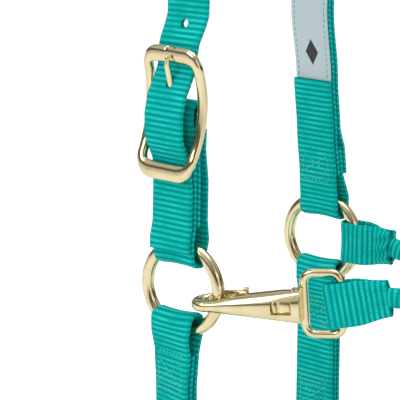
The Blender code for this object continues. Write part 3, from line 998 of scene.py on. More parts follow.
@dataclass
class Stitching:
    """Rows of separate raised stitches, copied from one."""

    name: str
    body: str
    material: bpy.types.Material
    pitch: float = 2.75 * MM
    length: float = 2.05 * MM
    width: float = 0.78 * MM
    height: float = 0.62 * MM
    second_row: float = 4.2 * MM
    cross_reach: float = 0.9
    hang: Hang | None = None
    stitches: list[bpy.types.Object] = field(default_factory=list)

    def row(self, start: Vector, end: Vector, normal: Vector) -> None:
        """Sews one straight row.

        Args:
            start: Where it begins.
            end: Where it ends.
            normal: The direction that the sewn face looks in.
        """
        if self.hang:
            turn = self.hang.at((start.z + end.z) / 2 - self.hang.fit.ring_z)[1]
            normal = Matrix.Rotation(turn, 3, "Z") @ normal
            start, end = self.hang(start), self.hang(end)
        heading = (end - start).normalized()
        count = max(1, round((end - start).length / self.pitch))
        turn = frame_matrix(Vector(), heading, normal.cross(heading)).to_3x3().to_4x4()
        size = Matrix.Diagonal((self.length, self.width, self.height, 1))
        for i in range(count):
            middle = start.lerp(end, (i + 0.5) / count)
            if not self.stitches:
                deselect()
                bpy.ops.mesh.primitive_uv_sphere_add(segments=8, ring_count=5, radius=0.5)
                stitch = bpy.context.object
            else:
                stitch = self.stitches[0].copy()
                stitch.data = self.stitches[0].data.copy()
                bpy.context.collection.objects.link(stitch)
            stitch.matrix_world = Matrix.Translation(middle) @ turn @ size
            self.stitches.append(stitch)

    def box(self, centre: Vector, across: Vector, along: Vector, normal: Vector, crossed: bool = True,
            doubled: bool = True) -> None:
        """Sews a box, with a cross in it and its two ends doubled.

        Args:
            centre: The middle of the box.
            across: From its middle to the middle of its long side.
            along: From its middle to the middle of its end.
            normal: The direction that the sewn face looks in.
            crossed: Whether it has a cross.
            doubled: Whether its ends have a second row.
        """
        corners = [centre + across * i + along * j for i, j in ((-1, -1), (1, -1), (1, 1), (-1, 1))]
        for start, end in zip(corners, corners[1:] + corners[:1]):
            self.row(start, end, normal)
        inner = 1.0
        if doubled:
            inner = 1 - self.second_row / along.length
            for sign in (-1, 1):
                edge = centre + along * sign * inner
                self.row(edge - across, edge + across, normal)
        if crossed:
            for sign in (-1, 1):
                corner = (across + along * sign * inner) * self.cross_reach
                self.row(centre - corner, centre + corner, normal)

    def sew(self) -> bpy.types.Object:
        """Joins the stitches into one piece.

        Returns:
            The piece.
        """
        for stitch in self.stitches:
            stitch.data.transform(stitch.matrix_world)
            stitch.matrix_world = Matrix()
        piece = join(self.name, self.stitches)
        only(piece)
        bpy.ops.object.shade_smooth()
        dress(piece, self.material)
        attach(piece, self.body)
        return piece


@dataclass
class SubAssembly:
    """What every sub-assembly of the halter has: the shared fit and finishes, and its pieces."""

    fit: Fit
    finishes: Finishes
    pieces: list[bpy.types.Object] = field(default_factory=list)

    def keep(self, piece: bpy.types.Object, body: str, slot: str, material: bpy.types.Material,
             *nodes: str) -> bpy.types.Object:
        """Dresses a finished piece and fixes it to its body, in place of its CAD nodes.

        Args:
            piece: The piece.
            body: The body that it rides on.
            slot: The record's material slot; not used.
            material: Its material.
            nodes: The CAD nodes that it stands for.

        Returns:
            The piece.
        """
        dress(piece, material)
        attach(piece, body)
        if nodes:
            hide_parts(*nodes)
        self.pieces.append(piece)
        LOG.info("%s rides on %s: %d faces", piece.name, body, len(piece.data.polygons))
        return piece

    def strap(self, name: str, body: str, node: str, place: Matrix, route: Route,
              **options: object) -> None:
        """Weaves a strap and keeps it.

        Args:
            name: The piece's name.
            body: The body that it rides on.
            node: The CAD node that it stands for.
            place: The plane that its route lies in.
            route: Its route.
            options: Other fields of Webbing.
        """
        settings = {"width": self.fit.width, "thick": self.fit.thick} | options
        webbing = Webbing(name, place, route, **settings)
        self.keep(webbing.build(), body, "webbing", self.finishes.webbing, node)


# ---------------------------------------------------------------- crown


@dataclass
class Crown(SubAssembly):
    """The crown strap with its tail and holes, its lining and label, the far loop and the buckle's chape."""

    buckle_up: float = 91.5 * MM
    buckle_low_up: float = 60.9 * MM
    buckle_top_up: float = 122.1 * MM
    under_frame: float = 6.15 * MM
    bar_out: float = 1.45 * MM
    bar_hold: float = 4.1 * MM
    tail_end_up: float = 20.5 * MM
    hole_up: float = 105.0 * MM
    hole_pitch: float = 29.0 * MM
    hole_radius: float = 2.3 * MM
    hole_count: int = 3
    slot_width: float = 4.1 * MM
    parting: float = 3.0 * MM
    bulge: float = 13.2 * MM
    label_width: float = 24.4 * MM
    label_thick: float = 0.6 * MM
    label_low_up: float = 90.0 * MM
    label_high_up: float = 165.0 * MM

    def hang(self, side: Side) -> Hang:
        """Gives how the crown's straps hang on one side."""
        if side is Side.NEAR:
            return Hang(self.fit, side, ((0.0, -1.4, -3), (0.045, -1.8, -6), (0.075, -2.2, -8.5),
                                         (0.115, -1.2, -8.5), (0.138, 0.2, -4), (0.172, 0, 0)))
        return Hang(self.fit, side, ((0.0, 0.6, -4), (0.035, 0.8, -8), (0.06, -0.6, -9),
                                     (0.092, -2.2, -8), (0.128, -4.8, -6), (0.172, 0, 0)))

    def hug(self, side: Side) -> Hug:
        """Gives the sag of a strap that is folded over the top of an upper ring."""
        fit = self.fit
        return Hug((side.value * fit.half_span, fit.ring_z), (0.0, 1.0), fit.ring_mean - fit.ring_wire / 2,
                   fit.fold)

    def slot_place(self, up: float, out: float, rise: float) -> Matrix:
        """Finds the place of a slot that the tongue passes through, turned with the near side's straps.

        Args:
            up: The height above the upper rings at which the slot hangs.
            out: How far out its cutter's middle lies.
            rise: How far its cutter's middle lies above that height.

        Returns:
            The cutter's place.
        """
        shift, turn = self.hang(Side.NEAR).at(up)
        middle = Matrix.Translation((shift, -self.fit.span(up), self.fit.ring_z + up + rise))
        return middle @ Matrix.Rotation(turn, 4, "Z") @ Matrix.Translation((0, -out, 0))

    def main_strap(self) -> None:
        """Makes the long strap: tail, buckle, poll and the far side's outer ply."""
        fit, ply = self.fit, self.fit.ply
        hold, frame = fit.ring_hold, self.under_frame
        low, top, bulge = self.buckle_low_up, self.buckle_top_up, self.bulge
        near = [(hold + ply, self.tail_end_up), (hold + ply, fit.ring_clear - 8 * MM),
                (2 * ply, fit.ring_clear), (2 * ply, low - 7 * MM), (frame, low - 4 * MM),
                (frame + 0.2 * MM, low + 5 * MM), (bulge - MM, self.buckle_up - 14 * MM),
                (bulge, self.buckle_up - 2 * MM), (bulge - 1.4 * MM, self.hole_up - 6 * MM),
                (frame - 0.8 * MM, self.hole_up + 7.5 * MM), (frame - 1.2 * MM, top + 3 * MM),
                (0.0, top + 16 * MM), (0.0, fit.crown_straight)]
        far = [(ply, fit.ring_clear + 4 * MM), (ply, 53 * MM), (0.0, 63 * MM), (0.0, fit.crown_straight)]
        points = rounded(fit.side(Side.NEAR, near), 9 * MM)
        radius = fit.span(fit.crown_straight)
        for step in range(1, 96):
            turn = math.pi * step / 96
            points.append(Vector((-math.cos(turn) * radius,
                                  fit.ring_z + fit.crown_straight + math.sin(turn) * radius)))
        points += reversed(rounded(fit.side(Side.FAR, far), 9 * MM))
        hangs = {side: self.hang(side) for side in Side}
        webbing = Webbing("crown_strap_woven", axis_place(Axis.ACROSS),
                          Route(points), fit.width, fit.thick, hugs=(self.hug(Side.NEAR),),
                          hang=lambda point: hangs[Side.NEAR if point.y < 0 else Side.FAR](point))
        strap = webbing.build()
        for i in range(1, self.hole_count):
            up = self.hole_up + i * self.hole_pitch
            x = hangs[Side.NEAR].at(up)[0]
            y, z = -fit.span(up), fit.ring_z + up
            subtract(strap, rod("punch", Vector((x, y + 12 * MM, z)), Vector((x, y - 20 * MM, z)),
                                self.hole_radius, 20))
        slot = self.slot_place(self.hole_up, 6 * MM, 0.3 * MM)
        subtract(strap, block("slot", Vector((self.slot_width, 30 * MM, 4.6 * MM)), slot, 1.8 * MM))
        self.keep(strap, "crown", "webbing", self.finishes.webbing, "crown_strap")

    def far_side(self) -> None:
        """Makes the lining ply, the label over it and the ply that holds the far ring."""
        fit, ply = self.fit, self.fit.ply
        place = axis_place(Axis.ACROSS)
        lining = [(-ply, fit.ring_clear + 4 * MM), (-ply, self.label_high_up)]
        self.strap("crown_lining_woven", "crown", "crown_lining", place,
                   Route(rounded(fit.side(Side.FAR, lining), 5 * MM)), hang=self.hang(Side.FAR))
        out = -ply - fit.thick / 2 - fit.gap - self.label_thick / 2
        ends = [(out, self.label_low_up), (out, self.label_high_up)]
        label = Webbing("crown_label_strip", place,
                        Route(rounded(fit.side(Side.FAR, ends), 5 * MM)), self.label_width, self.label_thick,
                        rib_height=0.02 * MM, hang=self.hang(Side.FAR))
        self.keep(label.build(), "crown", "label", self.finishes.label, "crown_label")
        hold = fit.ring_hold
        loop = [(-2 * ply, self.label_low_up - fit.gap), (-2 * ply, 30 * MM), (-hold, 24 * MM),
                (-hold, fit.fold), (hold, fit.fold), (hold, 24.5 * MM), (0.0, 37 * MM), (0.0, 53 * MM)]
        self.strap("offside_loop_woven", "crown", "offside_ring_loop", place,
                   Route(rounded(fit.side(Side.FAR, loop), hold)), hugs=(self.hug(Side.FAR),),
                   hang=self.hang(Side.FAR))

    def chape(self) -> None:
        """Makes the folded piece between the buckle's bar and the near ring, slotted for the tongue."""
        fit, ply, hold = self.fit, self.fit.ply, self.fit.ring_hold
        bar, grip = self.bar_out, self.bar_hold
        part = self.parting
        route = [(-ply - 1.3 * MM, 82 * MM), (-ply - 1.2 * MM, 72 * MM), (-ply - part, 56 * MM),
                 (-ply - part, 36 * MM), (-hold - part * 0.6, 25 * MM), (-hold, 19.5 * MM),
                 (-hold, fit.fold), (hold, fit.fold), (hold, 24.5 * MM), (ply, 34 * MM), (ply, 76 * MM),
                 (bar + grip, self.buckle_up - 5 * MM), (bar + grip, self.buckle_up + grip),
                 (bar - grip, self.buckle_up + grip), (bar - grip, self.buckle_up - 4 * MM), (0.0, 80 * MM),
                 (0.0, 33 * MM)]
        webbing = Webbing("buckle_chape_woven", axis_place(Axis.ACROSS),
                          Route(rounded(fit.side(Side.NEAR, route), hold)), fit.width, fit.thick,
                          hugs=(self.hug(Side.NEAR),), hang=self.hang(Side.NEAR))
        chape = webbing.build()
        place = self.slot_place(self.buckle_up, bar, 0.5 * MM)
        subtract(chape, block("slot", Vector((self.slot_width, 16 * MM, 17 * MM)), place, 1.5 * MM))
        self.keep(chape, "crown", "webbing", self.finishes.webbing, "buckle_chape")

    def stitching(self) -> None:
        """Sews the far loop's box, the label's two edges and the chape."""
        fit = self.fit
        seam = Stitching("crown_stitching", "crown", self.finishes.thread, hang=self.hang(Side.FAR))
        half = fit.thick / 2
        for out, normal in ((-2 * fit.ply - half, -1), (fit.ply + half, 1)):
            up = 43.2 * MM
            centre = Vector((0, fit.span(up) + out, fit.ring_z + up))
            seam.box(centre, Vector((9 * MM, 0, 0)), Vector((0, 0, 9.4 * MM)), Vector((0, normal, 0)))
        out = -fit.ply - half - self.label_thick - fit.gap
        for x in (-10.4 * MM, 10.0 * MM):
            low, high = self.label_low_up + MM, self.label_high_up - MM
            for i in range(8):
                ends = (low + (high - low) * share / 8 for share in (i, i + 1))
                seam.row(*(Vector((x, fit.span(up) + out, fit.ring_z + up)) for up in ends),
                         Vector((0, -1, 0)))
        seam.hang = self.hang(Side.NEAR)
        for out, normal in ((-fit.ply - half - self.parting, 1),):
            up = 47 * MM
            centre = Vector((0, -fit.span(up) - out, fit.ring_z + up))
            seam.box(centre, Vector((9 * MM, 0, 0)), Vector((0, 0, 8 * MM)), Vector((0, normal, 0)))
        self.pieces.append(seam.sew())

    def build(self) -> None:
        """Makes all of the crown's fabric."""
        self.main_strap()
        self.far_side()
        self.chape()
        self.stitching()


@dataclass
class Buckle(SubAssembly):
    """The bowed cast buckle with its centre bar, and the tongue that turns on the bar."""

    up: float = 91.5 * MM
    height: float = 70 * MM
    width: float = 40 * MM
    bar_height: float = 8.8 * MM
    rail: float = 5.2 * MM
    thick: float = 4.4 * MM
    bow: float = 9.2 * MM
    bar_out: float = 1.45 * MM
    bar_radius: float = 2.5 * MM
    corner: float = 9.0 * MM
    notch: float = 1.1 * MM
    tongue_width: float = 3.6 * MM
    tongue_thick: float = 2.6 * MM
    tongue_rest_out: float = 13.35 * MM
    tongue_eye: float = 4.0 * MM
    head_room: float = 0.918
    lean: float = 0.050
    rail_out: float = 3.4 * MM
    barrel: float = 1.3 * MM
    tuck: float = 0.7 * MM
    knee: float = 0.30
    shoulder: float = 0.55
    squareness: float = 0.86
    notch_half: float = 3.1 * MM
    notch_slope: float = 1.1 * MM
    flare_start: float = 12.9 * MM
    twist: float = math.radians(-8.5)

    def turned(self, point: Vector) -> Vector:
        """Turns a point of the buckle with the strap that it lies on."""
        middle = Vector((0, -self.fit.span(point.z - self.fit.ring_z), point.z))
        return middle + Matrix.Rotation(self.twist, 3, "Z") @ (point - middle)

    def stand_out(self, rise: float) -> float:
        """Gives how far the frame stands out at a height above its middle."""
        share = (rise / (self.height / 2 - self.bar_height)) ** 2
        blend = min(1.0, max(0.0, 0.5 + 0.5 * (share - 1) / self.knee))
        soft = share * (1 - blend) + blend - self.knee * blend * (1 - blend)
        return self.rail_out + (self.bow - self.rail_out) * soft

    def shift(self, rise: float) -> float:
        """Gives how far the leaning frame lies off the strap's middle at a height."""
        return self.lean * (rise - 33 * MM)

    def place(self, x: float, rise: float, proud: float) -> Vector:
        """Finds a point of the frame.

        Args:
            x: Its distance from the buckle's middle, across the strap.
            rise: Its height above the buckle's middle.
            proud: How far it stands out from the frame's bowed middle surface.

        Returns:
            The point.
        """
        x += self.shift(rise)
        rise *= self.head_room if rise > 0 else 1.0
        slope = (self.stand_out(rise + 0.1 * MM) - self.stand_out(rise - 0.1 * MM)) / (0.2 * MM)
        tilt = Vector((1.0, -slope)).normalized() * proud
        up = self.up + rise
        out = self.fit.span(up) + self.bar_out + self.stand_out(rise) + tilt.x
        return self.turned(Vector((x, -out, self.fit.ring_z + up + tilt.y)))

    def frame(self) -> None:
        """Makes the frame from one closed form, joined by its centre bar."""
        half_w, half_h = (self.width - self.rail) / 2, (self.height - self.bar_height) / 2
        corners = [(half_w, 0.0), (half_w, half_h), (-half_w, half_h), (-half_w, -half_h), (half_w, -half_h)]
        route = Route(rounded(corners, self.corner, closed=True), closed=True)

        def shape(turn: float, about: float) -> Vector:
            """Gives a point of the frame at an angle round it and an angle about its section."""
            point, head = route.at(turn / (2 * math.pi) % 1 * route.length)
            away = Vector((head.y, -head.x))
            turned = smooth_step((abs(away.y) - self.shoulder) / (1 - self.shoulder))
            wide = self.rail + (self.bar_height - self.rail) * turned
            c, s = (math.copysign(abs(part) ** self.squareness, part)
                    for part in (math.cos(about), math.sin(about)))
            point = point + away * (c * wide / 2)
            swell = self.barrel * (1 - min(1.0, (point.y / half_h) ** 2))
            point.x += math.copysign(swell - self.tuck, point.x) if abs(point.x) > 8 * MM else 0.0
            proud = s * self.thick / 2
            if proud > 0 and point.y > half_h * 0.7:
                proud -= self.notch * smooth_step((self.notch_half - abs(point.x)) / self.notch_slope)
            return self.place(point.x, point.y, proud)

        frame = closed_form("buckle_frame_cast", 320, 28, shape)
        y, z = -self.fit.span(self.up) - self.bar_out, self.fit.ring_z + self.up
        reach = self.width / 2 - self.rail / 2

        def bar(share: float, turn: float) -> Vector:
            """Gives a point of the centre bar, whose ends turn out to meet the rails."""
            x = (share * 2 - 1) * reach
            radius = 0.0 if share in (0.0, 1.0) else self.bar_radius
            out = self.rail_out * smooth_step((abs(x) - self.flare_start) / (reach - self.flare_start))
            c, s = math.cos(turn) * radius, math.sin(turn) * radius
            return self.turned(Vector((x + self.shift(0.0), y - out + c, z + s)))

        unite(frame, open_form("bar", 40, 24, bar))
        clean(frame, 40.0)
        self.keep(frame, "crown", "hardware", self.finishes.brass, "buckle_frame")

    def tongue(self) -> None:
        """Makes the tongue: a round pin that tapers to its tip and is rolled round the bar."""
        fit = self.fit
        top = self.up + (self.height - self.bar_height) / 2 * self.head_room
        base = Vector((-fit.span(self.up) - self.bar_out, fit.ring_z + self.up))
        tip = Vector((-fit.span(top) - self.tongue_rest_out, fit.ring_z + top + 0.5 * MM))
        knee = tip - Vector((0, self.bar_height * 0.66))
        shaft = knee - base
        aim = math.asin(self.tongue_eye / shaft.length)
        away = Vector((shaft.y, -shaft.x)).normalized() * self.tongue_eye
        away.rotate(Matrix.Rotation(-aim, 2))
        eye = [base + Matrix.Rotation(math.radians(330) * i / 40, 2) @ -away for i in range(41)]
        route = Route(rounded([tuple(tip), tuple(knee), tuple(eye[0])], 5 * MM)[:-1] + eye)

        def shape(share: float, turn: float) -> Vector:
            """Gives a point of the pin."""
            point, head = route.at(share * route.length)
            side = Vector((-head.y, head.x))
            ends = min(1.0, math.sqrt(min(1.0, share * 26)), math.sqrt(min(1.0, (1 - share) * 40)))
            taper = ends * (0.70 + 0.30 * smooth_step(share * 3.5))
            c, s = math.cos(turn), math.sin(turn)
            point = point + side * (s * self.tongue_thick / 2 * ends)
            x = self.shift(point.y - fit.ring_z - self.up)
            return self.turned(Vector((x + c * self.tongue_width / 2 * taper, point.x, point.y)))

        pin = open_form("buckle_tongue_pin", 96, 20, shape)
        self.keep(pin, "tongue", "hardware", self.finishes.brass, "buckle_tongue")

    def build(self) -> None:
        """Makes the buckle."""
        self.frame()
        self.tongue()


@dataclass
class Rings(SubAssembly):
    """The two round upper rings, the lead ring and the two side squares."""

    weld_swell: float = 0.05
    square_corner: float = 5.2 * MM

    def ring(self, name: str, body: str, node: str, mean: float, turn: Euler, weld: float) -> None:
        """Makes one wire ring, with the slight swelling of its weld.

        Args:
            name: The piece's name.
            body: The body that it rides on.
            node: The CAD node that it stands for, which gives its centre.
            mean: The radius of the middle of its wire.
            turn: Its turn from lying flat.
            weld: The angle round it of its weld.
        """
        centre = sum(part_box(node), Vector()) / 2
        wire = self.fit.ring_wire / 2
        matrix = Matrix.Translation(centre) @ turn.to_matrix().to_4x4()

        def shape(around: float, about: float) -> Vector:
            """Gives a point of the wire's surface."""
            off = abs((around - weld + math.pi) % (2 * math.pi) - math.pi)
            radius = wire * (1 + self.weld_swell * math.exp(-(off / 0.035) ** 2))
            reach = mean + radius * math.cos(about)
            return matrix @ Vector((reach * math.cos(around), reach * math.sin(around),
                                    radius * math.sin(about)))

        self.keep(closed_form(name, 144, 28, shape), body, "hardware", self.finishes.brass, node)

    def square(self, side: Side, word: str) -> None:
        """Makes the square ring of one side.

        Args:
            side: The side.
            word: The side's name in the CAD nodes.
        """
        fit, half = self.fit, self.fit.square_mean
        corners = [(half, 0.0), (half, half), (-half, half), (-half, -half), (half, -half)]
        route = Route(rounded(corners, self.square_corner, closed=True), closed=True)
        matrix = frame_matrix(Vector((0, side.value * fit.square_span, fit.square_z)), Vector((1, 0, 0)),
                              Vector((0, 0, 1)))

        def shape(turn: float, about: float) -> Vector:
            """Gives a point of the wire's surface."""
            point, head = route.at(turn / (2 * math.pi) % 1 * route.length)
            point = point + Vector((head.y, -head.x)) * (math.cos(about) * fit.square_wire / 2)
            return matrix @ Vector((point.x, point.y, math.sin(about) * fit.square_wire / 2))

        self.keep(closed_form(f"{word}_square_wire", 160, 24, shape), "lower", "hardware",
                  self.finishes.brass, f"{word}_side_square")

    def build(self) -> None:
        """Makes all rings and squares."""
        upright = Euler((math.pi / 2, 0, 0))
        self.ring("near_ring_wire", "near_ring", "near_upper_ring", self.fit.ring_mean, upright, 1.57)
        self.ring("far_ring_wire", "far_ring", "far_upper_ring", self.fit.ring_mean, upright, 1.57)
        self.ring("lead_ring_wire", "lead", "lead_ring", self.fit.lead_mean, Euler((0, math.pi / 2, 0)), 0.0)
        self.square(Side.NEAR, "near")
        self.square(Side.FAR, "far")


# ---------------------------------------------------------------- lower half


def offset(route: Sequence[Plane], outs: Sequence[float]) -> list[Vector]:
    """Moves a route's points sideways along the mitre of each corner.

    Args:
        route: The route's corners.
        outs: How far each one moves.

    Returns:
        The moved corners.
    """
    places = [Vector(point) for point in route]
    moved = []
    for i, here in enumerate(places):
        ahead = (places[i + 1] - here if i + 1 < len(places) else here - places[i - 1]).normalized()
        behind = (here - places[i - 1] if i else ahead).normalized()
        mitre = Vector((-(ahead + behind).y, (ahead + behind).x)).normalized()
        moved.append(here + mitre * outs[i] / max(0.2, abs(mitre.dot(Vector((-ahead.y, ahead.x))))))
    return moved


@dataclass
class LowerHalf(SubAssembly):
    """Cheek straps, noseband, chin straps and the jaw strap, with their stitching."""

    cheek_drop: float = 185 * MM
    nose_reach: float = 125 * MM
    throat_reach: float = 168 * MM
    throat_drop: float = 38 * MM
    roll_hold: float = 11.8 * MM

    def hang(self, side: Side) -> Hang:
        """Gives how the cheek straps hang on one side."""
        if side is Side.NEAR:
            return Hang(self.fit, side, ((-0.150, 0, 0), (-0.110, -2.4, -9), (-0.055, -4.7, -17),
                                         (-0.030, -4.0, -10), (-0.012, -3.4, -2)))
        return Hang(self.fit, side, ((-0.150, 0, 0), (-0.110, -1.0, -6), (-0.055, -1.5, -8),
                                     (-0.012, -1.0, -3)))

    def cheek(self, side: Side, word: str) -> None:
        """Makes the three-ply strap from an upper ring to the square below it.

        Args:
            side: The side.
            word: The side's name in the CAD nodes.
        """
        fit, ply, sh, rh = self.fit, self.fit.ply, self.fit.square_hold, self.fit.ring_hold
        top = -fit.ring_clear
        bar = -self.cheek_drop + fit.square_mean
        low = bar + fit.square_wire / 2 + 17 * MM
        route = [(0.0, top), (0.0, low), (-sh, low - 12 * MM), (-sh, bar - sh), (sh, bar - sh),
                 (sh, low - 12 * MM), (ply, low), (ply, top), (rh, top + 9.5 * MM), (rh, -fit.fold),
                 (-rh, -fit.fold), (-rh, top + 9.5 * MM), (-ply, top), (-ply, low + 6 * MM)]
        hug = Hug((side.value * fit.half_span, fit.ring_z), (0.0, -1.0), fit.ring_mean - fit.ring_wire / 2,
                  fit.fold)
        self.strap(f"{word}_cheek_woven", "lower", f"{word}_cheek_strap", axis_place(Axis.ACROSS),
                   Route(rounded(fit.side(side, route), rh)), hugs=(hug,), hang=self.hang(side))

    def noseband(self) -> None:
        """Makes the band in front of the nose, folded back round the front bar of both squares."""
        fit, bar, spread, sh = self.fit, self.fit.square_mean, self.fit.ply / 2, self.fit.square_hold
        outs = [(-62 * MM, spread), (-bar - 16 * MM, spread), (-bar - 6 * MM, sh), (-bar + sh, sh),
                (-bar + sh, -sh), (-bar - 6 * MM, -sh), (-bar - 16 * MM, -spread), (-70 * MM, -spread)]
        near = [(x, -(fit.square_span + out)) for x, out in outs]
        far = [(x, fit.square_span + out) for x, out in reversed(outs)]
        ends = rounded(near, sh), rounded(far, sh)
        width = fit.square_span - spread
        nose = [(-self.nose_reach, -width), (-self.nose_reach, width)]
        arc = rounded([near[-1], *nose, far[0]], self.nose_reach - 72 * MM)
        place = axis_place(Axis.LEVEL, Vector((0, 0, fit.square_z)))
        self.strap("noseband_woven", "lower", "noseband", place, Route(ends[0][:-1] + arc + ends[1][1:]))

    def belt(self, name: str, node: str, route: Sequence[Plane], holds: Plane, place: Matrix,
             hugs: tuple[Hug, ...] = ()) -> None:
        """Makes a two-ply strap round a bar at each end, its cut ends butted on one side.

        Args:
            name: The piece's name.
            node: The CAD node that it stands for.
            route: The corners of its middle line.
            holds: How far its plies lie from that line at the two bars.
            place: The plane of the route.
            hugs: Its sags into curved wires.
        """
        spread = self.fit.ply / 2
        outs = [holds[0], holds[0]] + [spread] * (len(route) - 4) + [holds[1], holds[1]]
        one, other = offset(route, outs), offset(route, [-out for out in outs])
        half = len(route) // 2
        joint = (one[half - 1] + one[half]) / 2
        along = (one[half] - one[half - 1]).normalized() * 0.5 * MM
        strip = [joint + along] + one[half:] + other[::-1] + one[:half] + [joint - along]
        corners = [tuple(point) for point in strip]
        self.strap(name, "lower", node, place, Route(rounded(corners, max(holds))), hugs=hugs)

    def chin(self, side: Side, word: str) -> None:
        """Makes the strap from a square's rear bar back to the side of the lead ring.

        Args:
            side: The side.
            word: The side's name in the CAD nodes.
        """
        fit = self.fit
        x, y = fit.square_mean, fit.square_span
        route = [(x - fit.square_hold, y), (x + 6 * MM, y), (x + 18 * MM, y - 3 * MM),
                 (fit.lead_x - 10 * MM, fit.lead_clear + 10 * MM), (fit.lead_x, fit.lead_clear),
                 (fit.lead_x, fit.lead_clear - 9.5 * MM), (fit.lead_x, fit.lead_fold)]
        hug = Hug((fit.lead_x, 0.0), (0.0, float(side.value)), fit.lead_mean - fit.ring_wire / 2,
                  fit.lead_fold)
        place = axis_place(Axis.LEVEL, Vector((0, 0, fit.square_z)))
        self.belt(f"{word}_chin_woven", f"{word}_chin_strap", [(a, side.value * b) for a, b in route],
                  (fit.square_hold, fit.ring_hold), place, (hug,))

    def jaw(self) -> None:
        """Makes the strap from the lead ring up to the rolled throat strap."""
        fit = self.fit
        roll = Vector((self.throat_reach, fit.ring_z - self.throat_drop))
        low = Vector((fit.lead_x, fit.square_z + fit.lead_clear + 4 * MM))
        climb = (roll - low).normalized()
        route = [(fit.lead_x, fit.square_z + fit.lead_fold),
                 (fit.lead_x, fit.square_z + fit.lead_clear - 9.5 * MM),
                 (fit.lead_x, fit.square_z + fit.lead_clear - MM), tuple(low + climb * 12 * MM),
                 tuple(roll - climb * (self.roll_hold + 20 * MM)), tuple(roll - climb * 6 * MM),
                 tuple(roll + climb * self.roll_hold)]
        hug = Hug((fit.lead_x, fit.square_z), (0.0, 1.0), fit.lead_mean - fit.ring_wire / 2, fit.lead_fold)
        self.belt("jaw_woven", "jaw_strap", route, (fit.ring_hold, self.roll_hold),
                  axis_place(Axis.LENGTHWISE), (hug,))

    def stitching(self) -> None:
        """Sews the boxes on the cheeks, noseband and chin straps, on both faces of each."""
        fit = self.fit
        seam = Stitching("lower_stitching", "lower", self.finishes.thread)
        half = fit.thick / 2
        x_half = Vector((9 * MM, 0, 0))
        for side in Side:
            sign = side.value
            seam.hang = self.hang(side)
            for up, tall in ((-44.5 * MM, 10 * MM), (-92 * MM, 10 * MM), (-140 * MM, 4.5 * MM)):
                for face in (1, -1):
                    out = (fit.ply + half) * face
                    centre = Vector((0, sign * (fit.span(up) + out), fit.ring_z + up))
                    seam.box(centre, x_half, Vector((0, 0, tall)), Vector((0, sign * face, 0)),
                             crossed=tall > 5 * MM, doubled=tall > 5 * MM)
            seam.hang = None
            for face in (1, -1):
                out = (fit.ply / 2 + half) * face
                centre = Vector((-48 * MM, sign * (fit.square_span + out), fit.square_z))
                seam.box(centre, Vector((0, 0, 9 * MM)), Vector((9.5 * MM, 0, 0)),
                         Vector((0, sign * face, 0)))
        self.pieces.append(seam.sew())

    def build(self) -> None:
        """Makes the lower half's fabric."""
        for side, word in ((Side.NEAR, "near"), (Side.FAR, "far")):
            self.cheek(side, word)
            self.chin(side, word)
        self.noseband()
        self.jaw()
        self.stitching()


# ---------------------------------------------------------------- throat strap


@dataclass
class SnapPlace:
    """Where the snap lies: its axis points from its hook to the throat strap."""

    heading: float = math.radians(20)
    pitch: float = math.radians(4)
    drop: float = 4.5 * MM
    inset: float = 2.2 * MM

    def matrix(self, fit: Fit) -> Matrix:
        """Gives the snap's own place: x along it, y towards the head and z up.

        Args:
            fit: The shared fit.

        Returns:
            The matrix.
        """
        axis = Vector((math.cos(self.heading) * math.cos(self.pitch),
                       math.sin(self.heading) * math.cos(self.pitch), math.sin(self.pitch)))
        inwards = Vector((-math.sin(self.heading), math.cos(self.heading), 0))
        origin = Vector((fit.ring_mean - self.inset, -fit.half_span, fit.ring_z - self.drop))
        return frame_matrix(origin, axis, inwards)


